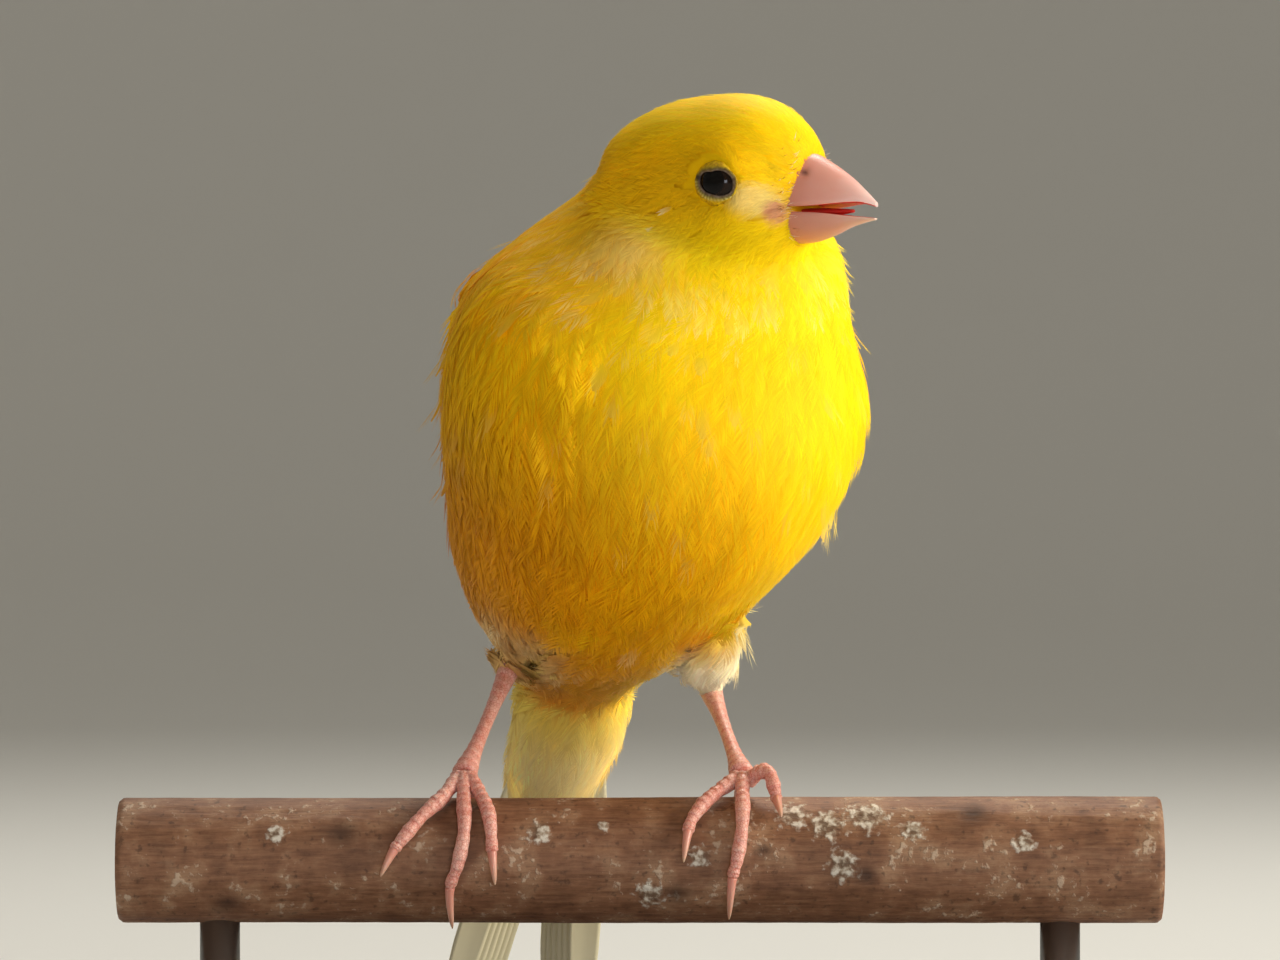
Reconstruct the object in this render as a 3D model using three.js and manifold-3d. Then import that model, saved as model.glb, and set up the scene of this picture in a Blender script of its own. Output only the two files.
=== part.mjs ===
// A canary, life size, gripping a short cut perch that a plain display stand holds up.
// Millimetres, +Z up. The origin is the middle of the stand's underside, and the perch runs along X.
// The bird is modelled in a frame of its own, facing -Y from the perch's centre line, and is then turned.
import * as THREE from "three";
import { mergeVertices } from "three/addons/utils/BufferGeometryUtils.js";
import Module from "manifold-3d";

const wasm = await Module();
wasm.setup();

const GAP = 0.3;

// Stance
const BODY_TURN = THREE.MathUtils.degToRad(17);
const HEAD_TURN = THREE.MathUtils.degToRad(44);
const BIRD_SIDE_SHIFT = 0.8;
const HEAD_PLACE = { left: 4.1, fore: 7.5 };

// Perch and stand
const PERCH_RADIUS = 6.25;
const PERCH_LENGTH = 104;
const BASE_LENGTH = 104;
const BASE_DEPTH = 84;
const BASE_THICKNESS = 7;
const ROD_RADIUS = 2;
const ROD_SPREAD = 42;
const TAIL_DROP = 21;
const TAIL_CLEARANCE = 4;
const PERCH_Y = -6;
const PERCH_Z = BASE_THICKNESS + TAIL_CLEARANCE + TAIL_DROP;

// Plumage outlines in side view as stations: the points on the back and on the belly as [fore, up],
// from the perch's centre line and, for the head, from its own turning axis, and half the width across.
const TORSO = [
  { part: "tail root", back: [-30.2, 22], belly: [-21, 14], half: 5.9 },
  { part: "vent", back: [-29, 25], belly: [-14.5, 16.2], half: 8.2, left: -0.8 },
  { part: "rump", back: [-27.2, 29], belly: [-7.5, 17.2], half: 11, left: -1.6 },
  { part: "rump top", back: [-25, 33.5], belly: [1, 19.2], half: 13.6, left: -2.1 },
  { part: "lower belly", back: [-22.6, 38.5], belly: [9.6, 23.4], half: 16.6, left: -1.9 },
  { part: "belly", back: [-20, 44], belly: [16.8, 28.8], half: 19.1, left: -0.7 },
  { part: "flanks", back: [-17, 49.5], belly: [21.2, 35], half: 20.3, left: 0 },
  { part: "breast", back: [-14, 55], belly: [22.3, 41.5], half: 20.9, left: 0.1 },
  { part: "shoulders", back: [-10.5, 60.4], belly: [21.2, 47.5], half: 18.9, left: -0.2 },
  { part: "neck base", back: [-6.8, 65.4], belly: [18.4, 52.5], half: 17.3, left: 1.4 },
  { part: "neck", back: [-3.2, 69.6], belly: [16.6, 56.5], half: 13.4, left: 3.8 },
  { part: "neck top", back: [1.2, 72.4], belly: [14, 60.5], half: 9.9, left: 2.8 },
];
const HEAD = [
  { part: "nape", back: [-10.4, 70.6], belly: [-9.6, 62.5], half: 4.5 },
  { part: "occiput", back: [-8.2, 73.3], belly: [-7.5, 60], half: 7.2 },
  { part: "ears", back: [-4, 75.5], belly: [-3.5, 58.2], half: 8.8 },
  { part: "crown", back: [1, 76.2], belly: [1.5, 57.4], half: 9.2 },
  { part: "eyes", back: [5.2, 76.1], belly: [5.8, 57.6], half: 8.7 },
  { part: "forehead", back: [8.8, 74.8], belly: [8.7, 58.9], half: 7 },
  { part: "face", back: [10.9, 73], belly: [10, 60.3], half: 5 },
  { part: "bill base", back: [12, 71], belly: [10.8, 61.6], half: 3.5 },
];
const WIDEST = 0.5;
const NECK_CUT = 8.4;

// The tail hangs along one line; its places are a distance down that line, to the left and off its plane.
const TAIL_SLOPE = THREE.MathUtils.degToRad(57);
const TAIL = { fore: -24.7, up: 17, slope: TAIL_SLOPE, length: 45, pairs: 6, left: -0.5 };
const TAIL_ROOT = [
  { part: "below the coverts", back: tailSide(18, 1.1), belly: tailSide(18, -1), half: 4.7, left: -0.8 },
  { part: "quills", back: tailSide(11, 2.6), belly: tailSide(11, -2.8), half: 5.5, left: -0.7 },
  { part: "under the rump", back: tailSide(5, 4.5), belly: tailSide(5, -4.2), half: 6.4, left: -0.1 },
  { part: "rump end", back: [-30.3, 21.6], belly: [-21.3, 13.7], half: 6, left: 0.1 },
];

// The folded wing lies on the torso, carried on past it over the tail. Its edges are angles
// round that bed.
const WING_BED = [
  { part: "past the tips", back: tailSide(27, 1.6), belly: tailSide(27, -3.6), half: 7 },
  { part: "wing tips", back: tailSide(17, 2.6), belly: tailSide(17, -3.6), half: 6.8 },
  { part: "tail coverts", back: tailSide(8, 4.6), belly: tailSide(8, -4), half: 6.4 },
  ...TORSO,
];
const WING_LOW = [0.42, 0.45, 0.52, 0.62, 0.72, 0.79, 0.84, 0.89, 0.94, 0.99, 1.04, 1.12, 1.2];
const WING_HIGH = [0.25, 0.25, 0.24, 0.22, 0.2, 0.2, 0.2, 0.2, 0.22, 0.26, 0.34, 0.5, 0.8];
const MIDLINE_KEEP = 0.45;
const VANE = 0.5;
const PRIMARIES = { count: 6, half: 2, root: 8.6, tips: [0.95, 1.1, 1.45, 2, 2.6, 3.2], rows: [0.1, 0.5] };
const SECONDARIES = { count: 4, half: 2.6, root: 9, tips: [3.8, 4.2, 4.6, 5], rows: [0.42, 0.68] };
const TERTIALS = { count: 3, half: 2.9, root: 9.3, tips: [4.2, 5, 5.9], rows: [0.74, 0.9] };
const COVERTS = [
  { count: 7, half: 2.2, root: 9.5, tip: 7.7, rise: 0.7 },
  { count: 5, half: 2.5, root: 10.6, tip: 9.2, rise: 1 },
];

// Legs, in the bird's frame as [left, fore, up]
const LEGS = {
  left: { knee: [4.8, 4.4, 27.5], ankle: [10.7, -13, 16.5] },
  right: { knee: [-8.5, 2, 28], ankle: [-9.4, -17, 19.2] },
};
const THIGH_RADII = [4.6, 3.8, 3.1, 2.4, 1.8, 1.35];
const TARSUS_RADII = [1.25, 0.95, 0.85, 0.85, 0.95, 1.25];
const TOE_RADIUS = 0.75;

// Toes over the perch as [along the perch, degrees round from its top to the front, lift off the bark];
// the last place is the tip of the claw.
const FEET = {
  right: {
    pad: [-17.6, 2, 1.2],
    inner: [
      [-17, 8, 0.9], [-15.8, 28, 0.2], [-15, 48, 0],
      [-14.7, 68, 0], [-14.6, 82, 0.1], [-14.3, 104, 0.8],
    ],
    middle: [
      [-17.6, 10, 0.9], [-17.5, 34, 0.1], [-17.4, 64, 0],
      [-18, 90, 0], [-18.8, 110, 0.1], [-18.6, 142, 0.9],
    ],
    outer: [
      [-18.2, 8, 0.9], [-19.6, 30, 0.2], [-21.6, 50, 0],
      [-23.5, 70, 0], [-24.4, 80, 0.1], [-25.6, 98, 0.8],
    ],
    hind: [
      [-17.4, -8, 0.8], [-16.8, -32, 0.2], [-16.5, -58, 0],
      [-16.4, -80, 0], [-16.4, -92, 0.1], [-16.6, -128, 1],
    ],
  },
  left: {
    pad: [10.2, 2, 1.2],
    inner: [
      [9.6, 8, 0.9], [7.8, 22, 0.3], [6.2, 38, 0],
      [5.1, 54, 0], [4.7, 66, 0.1], [4.3, 88, 0.8],
    ],
    middle: [
      [10.2, 10, 0.9], [10.2, 32, 0.1], [10.1, 60, 0],
      [9.6, 86, 0], [9.1, 102, 0.1], [8.8, 132, 0.9],
    ],
    outer: [
      [10.9, 8, 0.9], [12, 12, 1.8], [12.9, 17, 1.9],
      [13.4, 26, 0.6], [13.6, 33, 0.1], [14, 54, 0.6],
    ],
    hind: [
      [10.4, -8, 0.8], [10.2, -32, 0.2], [10.1, -58, 0],
      [10.1, -80, 0], [10.2, -92, 0.1], [10.4, -128, 1],
    ],
  },
};

// Head furniture, in the head's own frame
const EYE = { fore: 4.8, up: 67.1, side: 6.1, radius: 2.5, lid: 3.2, opening: [1.55, 1.35] };
const UPPER_BILL = [
  { fore: 9.2, edge: 64.75, top: 70.5, under: 64.6, half: 4.2 },
  { fore: 11.8, edge: 64.72, top: 70, under: 64.6, half: 3.75 },
  { fore: 13.7, edge: 64.85, top: 69, under: 64.65, half: 3.05 },
  { fore: 15.6, edge: 65.05, top: 67.7, under: 64.8, half: 2.15 },
  { fore: 17.2, edge: 65.15, top: 66.3, under: 64.8, half: 1.25 },
  { fore: 18.5, edge: 64.8, top: 65.1, under: 64.55, half: 0.3 },
];
const LOWER_BILL = [
  { fore: 9.2, edge: 64.2, top: 64.28, under: 61.2, half: 3.8 },
  { fore: 11.6, edge: 64.18, top: 64.28, under: 61.3, half: 3.25 },
  { fore: 13.8, edge: 64.05, top: 64.15, under: 61.9, half: 2.4 },
  { fore: 15.7, edge: 63.8, top: 63.95, under: 62.7, half: 1.5 },
  { fore: 17.2, edge: 63.65, top: 63.75, under: 63.1, half: 0.8 },
  { fore: 18.4, edge: 63.5, top: 63.6, under: 63.35, half: 0.3 },
];
const TONGUE = [
  { fore: 10.2, edge: 64.25, top: 64.65, under: 63.85, half: 1.4 },
  { fore: 12.8, edge: 64.25, top: 64.65, under: 63.85, half: 1.25 },
  { fore: 14.7, edge: 64.25, top: 64.55, under: 63.95, half: 0.85 },
  { fore: 16, edge: 64.3, top: 64.45, under: 64.15, half: 0.25 },
];
const NOSTRIL = { fore: 12.1, up: 67.9, side: 3.2, radius: 0.55 };

function tailSide(down, off) {
  const [c, s] = [Math.cos(TAIL.slope), Math.sin(TAIL.slope)];
  return [TAIL.fore - c * down - s * off, TAIL.up - s * down + c * off];
}

function tailPlace(down, left, off) {
  const [fore, up] = tailSide(down, off);
  return new THREE.Vector3(left, -fore, up);
}

function spline(values, t) {
  const last = values.length - 1;
  const i = Math.min(Math.max(Math.floor(t), 0), last - 1);
  const u = t - i;
  const at = (k) => values[Math.min(Math.max(k, 0), last)];
  const [p0, p1, p2, p3] = [at(i - 1), at(i), at(i + 1), at(i + 2)];
  return (
    p1 + 0.5 * u * (p2 - p0 + u * (2 * p0 - 5 * p1 + 4 * p2 - p3 + u * (3 * (p1 - p2) + p3 - p0)))
  );
}

// A point on the plumage at station t and angle around, 0 on the back and PI on the belly,
// going round by the bird's left side.
function onForm(form, t, around) {
  const read = (pick) => spline(form.map(pick), t);
  const back = [read((s) => s.back[0]), read((s) => s.back[1])];
  const belly = [read((s) => s.belly[0]), read((s) => s.belly[1])];
  const towards = Math.cos(around) > 0 ? back : belly;
  const [fore, up] = [0, 1].map((k) => {
    const middle = back[k] + WIDEST * (belly[k] - back[k]);
    return middle + Math.abs(Math.cos(around)) * (towards[k] - middle);
  });
  const left = read((s) => s.left ?? 0) + read((s) => s.half) * Math.sin(around);
  return new THREE.Vector3(left, -fore, up);
}

function outward(form, t, around) {
  const e = 0.02;
  const last = form.length - 1;
  const along = onForm(form, Math.min(t + e, last), around).sub(onForm(form, Math.max(t - e, 0), around));
  const across = onForm(form, t, around + e).sub(onForm(form, t, around - e));
  return along.cross(across).normalize();
}

function offForm(form, t, around, height) {
  return onForm(form, t, around).addScaledVector(outward(form, t, around), height);
}

// A closed tube through rings of points, with a pole at each end. Quads from slot `alike` on are split
// the other way, so that both faces of a thin vane bend on the same lines.
function loft(rings, startPole, endPole, alike = Infinity) {
  const count = rings[0].length;
  const position = [startPole, ...rings.flat(), endPole].flatMap((p) => p.toArray());
  const index = [];
  const at = (ring, k) => 1 + ring * count + (k % count);
  for (let k = 0; k < count; k++) {
    index.push(0, at(0, k + 1), at(0, k));
    for (let ring = 0; ring + 1 < rings.length; ring++) {
      const [a, b, c, d] = [at(ring, k), at(ring, k + 1), at(ring + 1, k + 1), at(ring + 1, k)];
      index.push(...(k < alike ? [a, b, c, a, c, d] : [a, b, d, b, c, d]));
    }
    index.push(at(rings.length - 1, k), at(rings.length - 1, k + 1), position.length / 3 - 1);
  }
  const geometry = new THREE.BufferGeometry();
  geometry.setAttribute("position", new THREE.Float32BufferAttribute(position, 3));
  geometry.setIndex(index);
  return geometry;
}

function solid(geometry) {
  const bare = geometry.clone();
  for (const name of Object.keys(bare.attributes)) if (name !== "position") bare.deleteAttribute(name);
  const merged = mergeVertices(bare, 1e-4);
  const made = new wasm.Manifold(
    new wasm.Mesh({
      numProp: 3,
      vertProperties: new Float32Array(merged.attributes.position.array),
      triVerts: new Uint32Array(merged.index.array),
    }),
  );
  return made.volume() < 0 ? solid(flipped(merged)) : made;
}

function flipped(geometry) {
  const turned = geometry.clone();
  const index = Array.from(turned.index.array);
  for (let i = 0; i < index.length; i += 3) [index[i + 1], index[i + 2]] = [index[i + 2], index[i + 1]];
  turned.setIndex(index);
  return turned;
}

function largest(made) {
  return made.decompose().sort((a, b) => b.volume() - a.volume())[0];
}

function fuse(pieces) {
  return wasm.Manifold.union(pieces);
}

function less(made, ...cutters) {
  return largest(cutters.reduce((left, cutter) => left.subtract(cutter), made));
}

function geometryOf(made) {
  const mesh = made.getMesh();
  const geometry = new THREE.BufferGeometry();
  const position = [];
  for (let i = 0; i < mesh.numVert; i++)
    position.push(...mesh.vertProperties.subarray(i * mesh.numProp, i * mesh.numProp + 3));
  geometry.setAttribute("position", new THREE.Float32BufferAttribute(position, 3));
  geometry.setIndex(Array.from(mesh.triVerts));
  return geometry;
}

function middleOf(ring) {
  return ring.reduce((sum, p) => sum.add(p), new THREE.Vector3()).divideScalar(ring.length);
}

function shell(form, rings, sides, height, from = 0, to = form.length - 1) {
  const made = [];
  for (let i = 0; i <= rings; i++) {
    const ring = [];
    for (let k = 0; k < sides; k++)
      ring.push(offForm(form, from + (i / rings) * (to - from), (k / sides) * 2 * Math.PI, height));
    made.push(ring);
  }
  return loft(made, middleOf(made[0]), middleOf(made[rings]));
}

// A round bar along a line of points, made bigger all round by extra.
function bar(line, radii, sides, extra = 0) {
  const points = line.map((p) => p.clone());
  const last = points.length - 1;
  const run = (a, b) => points[b].clone().sub(points[a]).normalize();
  points[0].addScaledVector(run(0, 1), -extra);
  points[last].addScaledVector(run(last - 1, last), extra);
  let side = new THREE.Vector3(0.31, 0.23, 0.92);
  const rings = points.map((p, i) => {
    const along = run(Math.max(i - 1, 0), Math.min(i + 1, last));
    side = side.clone().addScaledVector(along, -side.dot(along)).normalize();
    const other = along.clone().cross(side);
    return Array.from({ length: sides }, (_, k) => {
      const a = (k / sides) * 2 * Math.PI;
      const r = radii[Math.min(i, radii.length - 1)] + extra;
      return p.clone().addScaledVector(side, r * Math.cos(a)).addScaledVector(other, r * Math.sin(a));
    });
  });
  return solid(loft(rings, points[0], points[last]));
}

const lerp = THREE.MathUtils.lerp;
const along = (values, u) => spline(values, u * (values.length - 1));

// A feather's vane. place(u, across, height) gives its points, u from root to tip, in real sizes.
const VANE_OUTLINE = [0.5, 0.8, 0.95, 1, 0.98, 0.85, 0.3];
const VANE_STEPS = [0, 0.25, 0.5, 0.76, 0.93, 1];
function vane(place, half, height, tilt, extra = 0, steps = VANE_STEPS) {
  const rings = steps.map((u) => {
    const w = half * along(VANE_OUTLINE, u) + extra;
    const low = (x) => height + tilt * x - extra;
    const thick = VANE * (u > 0.99 ? 0.6 : 1) + 2 * extra;
    const under = [-w, w].map((x) => place(u, x, low(x)));
    const over = [w, -w].map((x) => place(u, x, low(x) + thick));
    return [...under, ...over];
  });
  return solid(loft(rings, middleOf(rings[0]), middleOf(rings.at(-1)), 2));
}

// A place on a wing, side 1 for the left and -1 for the right, at station t, row 0 on the lower edge
// to 1 on the upper one, and across in mm.
function wingPlace(side, t, row, across, height) {
  const around = lerp(spline(WING_LOW, t), spline(WING_HIGH, t), row);
  const e = 0.02;
  const mm = onForm(WING_BED, t, around + e).distanceTo(onForm(WING_BED, t, around - e)) / (2 * e);
  const half = spline(WING_BED.map((s) => s.half), t);
  return offForm(WING_BED, t, side * Math.max(around + across / mm, MIDLINE_KEEP / half), height);
}

function wingFeather(side, root, tip, row, half, height, tilt, extra, steps) {
  const place = (u, across, h) => wingPlace(side, lerp(root, tip, u), row, across, h);
  return vane(place, half, height, tilt, extra, steps);
}

function wingCore(side, extra) {
  const rows = [-0.02, 0.1, 0.3, 0.5, 0.7, 0.9, 1.02];
  const rings = [8.1, 8.5, 9.1, 9.8, 10.5, 11.1, 11.45].map((t, i) => {
    const full = [0.15, 0.8, 1, 1, 0.95, 0.75, 0.3][i];
    const squeeze = [1, 1, 1, 1, 0.96, 0.8, 0.5][i];
    const row = (r) => 0.42 + (r - 0.42) * squeeze;
    const arch = (r) => Math.sqrt(Math.max(Math.sin(Math.PI * (0.04 + 0.92 * r)), 0));
    const bulge = (r) => 0.3 + full * 0.7 * arch(r);
    const under = rows.map((r) => wingPlace(side, t, row(r), 0, 0.4 - extra));
    const over = [...rows].reverse().map((r) => wingPlace(side, t, row(r), 0, 0.4 + bulge(r) + extra));
    return [...under, ...over];
  });
  return solid(loft(rings, middleOf(rings[0]), middleOf(rings.at(-1)), rows.length));
}

function wing(side, extra = 0) {
  const pieces = [wingCore(side, extra)];
  let level = 0;
  for (const set of [PRIMARIES, SECONDARIES, TERTIALS]) {
    for (let i = 0; i < set.count; i++) {
      const row = lerp(set.rows[0], set.rows[1], i / (set.count - 1));
      const height = 0.5 + 0.07 * level;
      pieces.push(wingFeather(side, set.root, set.tips[i], row, set.half, height, 0.12, extra));
      level += 1;
    }
  }
  for (const row of COVERTS) {
    for (let i = 0; i < row.count; i++) {
      const place = lerp(0.06, 0.92, i / (row.count - 1));
      const tip = row.tip + 0.12 * Math.sin(i * 2.1);
      const steps = [0, 0.5, 0.85, 1];
      const height = row.rise + 0.6 * place;
      pieces.push(wingFeather(side, row.root, tip, place, row.half, height, 0.12, extra, steps));
    }
  }
  return largest(fuse(pieces));
}

function tailFeather(pair, side, extra) {
  const at = pair / (TAIL.pairs - 1);
  const length = TAIL.length - 1.8 * (1 - at) ** 2 - 0.5 * at ** 4;
  const [rootLeft, tipLeft] = [lerp(0.6, 2.8, at), lerp(3.9 + 0.5 * side, 7.6, at)];
  const left = (u) => TAIL.left + side * (rootLeft + (tipLeft - rootLeft) * u ** 0.9);
  const place = (u, across, height) => tailPlace(lerp(5, length, u), left(u) + across, height);
  return vane(place, lerp(1.8, 1.95, at), 0.55 - 0.3 * pair, 0, extra);
}

function tailCovert(top, root, tip, across, half) {
  const place = (u, x, height) => {
    const t = lerp(root, tip, u);
    const e = 0.02;
    const mm = onForm(TAIL_ROOT, t, e).distanceTo(onForm(TAIL_ROOT, t, -e)) / (2 * e);
    const around = (top ? 0 : Math.PI) + ((top ? 1 : -1) * (across + x)) / mm;
    return offForm(TAIL_ROOT, t, around, height);
  };
  return vane(place, half, -0.15, 0, 0, [0, 0.5, 0.85, 1]);
}

function tail() {
  const pieces = [solid(shell(TAIL_ROOT, 8, 16, 0))];
  for (let pair = 0; pair < TAIL.pairs; pair++)
    for (const side of [-1, 1]) pieces.push(tailFeather(pair, side, 0));
  for (const across of [-2.4, 0, 2.4]) pieces.push(tailCovert(false, 2.6, 1.1, across, 1.7));
  for (const across of [-1.3, 1.3]) pieces.push(tailCovert(false, 1.6, 0.35, across, 1.7));
  for (const across of [-2.2, 0, 2.2]) pieces.push(tailCovert(true, 2, 0.5, across, 1.6));
  return fuse(pieces);
}

function billPiece(stations, extra = 0) {
  const sides = 12;
  const rings = stations.map((s) =>
    Array.from({ length: sides }, (_, k) => {
      const a = (k / sides) * 2 * Math.PI;
      const rise = Math.cos(a) > 0 ? s.top - s.edge + extra : s.edge - s.under + extra;
      return new THREE.Vector3((s.half + extra) * Math.sin(a), -s.fore, s.edge + rise * Math.cos(a));
    }),
  );
  const pole = (s, run) => new THREE.Vector3(0, -s.fore - run, s.edge);
  return solid(placeHead(loft(rings, pole(stations[0], 0), pole(stations.at(-1), 0.15 + extra))));
}

function ball(radius, side, fore, up) {
  const round = new THREE.SphereGeometry(radius, 14, 9).rotateZ(Math.PI / 2);
  return solid(placeHead(round.translate(side, -fore, up)));
}

function eyeOpening(side) {
  const [wide, high] = EYE.opening;
  const bore = new THREE.CylinderGeometry(1, 1, 5, 16).rotateZ(Math.PI / 2).scale(1, wide, high);
  return solid(placeHead(bore.translate(side * (EYE.side + 2.5), -EYE.fore, EYE.up)));
}

function placeHead(geometry) {
  return geometry.rotateZ(HEAD_TURN).translate(HEAD_PLACE.left, -HEAD_PLACE.fore, 0);
}

function legPoint([left, fore, up]) {
  return new THREE.Vector3(left, -fore, up);
}

function inPart(point) {
  return point.clone().applyAxisAngle(new THREE.Vector3(0, 0, 1), BODY_TURN).add(bird.position);
}

function perchPlace([x, degrees, lift]) {
  const a = THREE.MathUtils.degToRad(degrees);
  const r = PERCH_RADIUS + GAP + TOE_RADIUS + lift;
  return new THREE.Vector3(x, PERCH_Y - r * Math.sin(a), PERCH_Z + r * Math.cos(a));
}

function toeLine(places, from, to, count) {
  return Array.from({ length: count + 1 }, (_, i) => {
    const t = lerp(from, to, i / count);
    return perchPlace([0, 1, 2].map((k) => spline(places.map((p) => p[k]), t)));
  });
}

const YELLOW = { color: 0xf2cf1d, roughness: 0.85, metalness: 0 };
const PALE = { color: 0xf3e59a, roughness: 0.85, metalness: 0 };
const PINK = { color: 0xe8a996, roughness: 0.5, metalness: 0 };
const CLAW = { color: 0xc99a8c, roughness: 0.4, metalness: 0 };
const DARK = { color: 0x16100e, roughness: 0.05, metalness: 0 };
const MOUTH = { color: 0xc8463c, roughness: 0.5, metalness: 0 };
const BARK = { color: 0x7a4a34, roughness: 0.85, metalness: 0 };
const STAND = { color: 0x3a3f44, roughness: 0.5, metalness: 0 };

const root = new THREE.Group();
const bird = new THREE.Group();
bird.position.set(BIRD_SIDE_SHIFT, PERCH_Y, PERCH_Z);
bird.rotation.z = BODY_TURN;
root.add(bird);

function add(group, name, made, look) {
  const mesh = new THREE.Mesh(geometryOf(made), new THREE.MeshStandardMaterial(look));
  mesh.name = name;
  group.add(mesh);
}

// Torso, neck and head
const torsoRoom = solid(shell(TORSO, 30, 32, GAP));
const sides = [1, -1];
const lids = (extra) => sides.map((s) => ball(EYE.lid + extra, s * EYE.side, EYE.fore, EYE.up));
const headRoom = fuse([solid(placeHead(shell(HEAD, 14, 24, GAP))), ...lids(GAP)]);
add(bird, "torso", solid(shell(TORSO, 18, 28, 0, 0, NECK_CUT)), YELLOW);
add(bird, "neck", less(solid(shell(TORSO, 6, 28, 0, NECK_CUT + 0.08)), headRoom), YELLOW);
const sockets = sides.map((s) => ball(EYE.radius + GAP, s * EYE.side, EYE.fore, EYE.up));
const skull = fuse([solid(placeHead(shell(HEAD, 14, 24, 0))), ...lids(0)]);
add(bird, "head", less(skull, ...sockets, ...sides.map(eyeOpening)), YELLOW);
add(bird, "eye_left", ball(EYE.radius, EYE.side, EYE.fore, EYE.up), DARK);
add(bird, "eye_right", ball(EYE.radius, -EYE.side, EYE.fore, EYE.up), DARK);

// Bill and tongue
const tongueRoom = billPiece(TONGUE, GAP);
const nostrils = sides.map((s) => ball(NOSTRIL.radius, s * NOSTRIL.side, NOSTRIL.fore, NOSTRIL.up));
add(bird, "bill_upper", less(billPiece(UPPER_BILL), headRoom, tongueRoom, ...nostrils), PINK);
add(bird, "bill_lower", less(billPiece(LOWER_BILL), headRoom, tongueRoom), PINK);
add(bird, "tongue", less(billPiece(TONGUE), headRoom), MOUTH);

// Wings and tail
add(bird, "wing_left", less(wing(1), torsoRoom), YELLOW);
add(bird, "wing_right", less(wing(-1), torsoRoom), YELLOW);
add(bird, "tail", less(tail(), wing(1, GAP), wing(-1, GAP)), PALE);

// Legs, feet and claws
for (const side of ["left", "right"]) {
  const [knee, ankle] = [LEGS[side].knee, LEGS[side].ankle].map(legPoint);
  const count = THIGH_RADII.length - 1;
  const line = THIGH_RADII.map((_, i) => knee.clone().lerp(ankle, i / count));
  add(bird, `thigh_${side}`, less(bar(line, THIGH_RADII, 14), torsoRoom), PALE);
  const thighRoom = bar(line.map(inPart), THIGH_RADII, 14, GAP);
  const toes = Object.entries(FEET[side]).filter(([name]) => name !== "pad");
  const radii = [0.8, 0.78, 0.74, 0.76, 0.74, 0.72, 0.74, 0.66];
  const toeBar = (places, extra) => bar(toeLine(places, 0, 4, 9), radii, 8, extra);
  const foot = perchPlace(FEET[side].pad);
  const shank = TARSUS_RADII.map((_, i) => inPart(ankle).lerp(foot, i / (TARSUS_RADII.length - 1)));
  const toeRooms = toes.map(([, places]) => toeBar(places, GAP));
  add(root, `tarsus_${side}`, less(bar(shank, TARSUS_RADII, 10), thighRoom, ...toeRooms), PINK);
  const order = ["middle", "inner", "outer", "hind"];
  order.forEach((name, n) => {
    const places = FEET[side][name];
    const before = order.slice(0, n).map((other) => toeBar(FEET[side][other], GAP));
    add(root, `toe_${name}_${side}`, less(toeBar(places, 0), ...before), PINK);
    const start = toeLine(places, 4, 5, 6);
    const off = start[1].clone().sub(start[0]).normalize();
    const claw = start.map((p, i) => p.addScaledVector(off, GAP * (1 - i / 6)));
    add(root, `claw_${name}_${side}`, bar(claw, [0.6, 0.56, 0.5, 0.42, 0.33, 0.22, 0.1], 6), CLAW);
  });
}

// Perch and stand
const stick = (extra) =>
  solid(
    new THREE.CylinderGeometry(PERCH_RADIUS + extra, PERCH_RADIUS + extra, PERCH_LENGTH, 32)
      .rotateZ(Math.PI / 2)
      .translate(0, PERCH_Y, PERCH_Z),
  );
add(root, "perch", stick(0), BARK);

const SOCKET = 4;
const upright = (radius, x, from, to) =>
  solid(
    new THREE.CylinderGeometry(radius, radius, to - from, 20)
      .rotateX(Math.PI / 2)
      .translate(x, PERCH_Y, (from + to) / 2),
  );
const CORNER = 9;
const EDGE = 1;
const plan = new THREE.Shape();
const [w, d] = [BASE_LENGTH / 2 - EDGE, BASE_DEPTH / 2 - EDGE];
plan.moveTo(-w + CORNER, -d).lineTo(w - CORNER, -d);
plan.absarc(w - CORNER, -d + CORNER, CORNER, -Math.PI / 2, 0);
plan.absarc(w - CORNER, d - CORNER, CORNER, 0, Math.PI / 2);
plan.absarc(-w + CORNER, d - CORNER, CORNER, Math.PI / 2, Math.PI);
plan.absarc(-w + CORNER, -d + CORNER, CORNER, Math.PI, 1.5 * Math.PI);
const plate = new THREE.ExtrudeGeometry(plan, {
  depth: BASE_THICKNESS - 2 * EDGE,
  bevelThickness: EDGE,
  bevelSize: EDGE,
  bevelSegments: 1,
  curveSegments: 5,
}).translate(0, 0, EDGE);
const rodHoles = sides.map((s) =>
  upright(ROD_RADIUS + GAP, s * ROD_SPREAD, BASE_THICKNESS - SOCKET, BASE_THICKNESS + 1),
);
add(root, "stand_base", less(solid(plate), ...rodHoles), STAND);
["right", "left"].forEach((name, i) => {
  const x = [-1, 1][i] * ROD_SPREAD;
  const rod = upright(ROD_RADIUS, x, BASE_THICKNESS - SOCKET + GAP, PERCH_Z);
  add(root, `stand_rod_${name}`, less(rod, stick(GAP)), STAND);
});

export default root;
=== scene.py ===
# %% [markdown]
# A yellow canary, life size, gripping a short cut perch on a plain display stand.
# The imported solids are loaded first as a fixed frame. Each visible piece is then built over them in metres.
# The coat is the long part of this lesson: thousands of small feathers, each made of thin barbs, laid on
# one closed skin so that no seam shows between the head, the neck and the body.

# %% Load the frame
import math

import bmesh
import bpy
import numpy as np
from mathutils import Matrix, Vector
from mathutils.bvhtree import BVHTree
from mathutils.kdtree import KDTree


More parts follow.
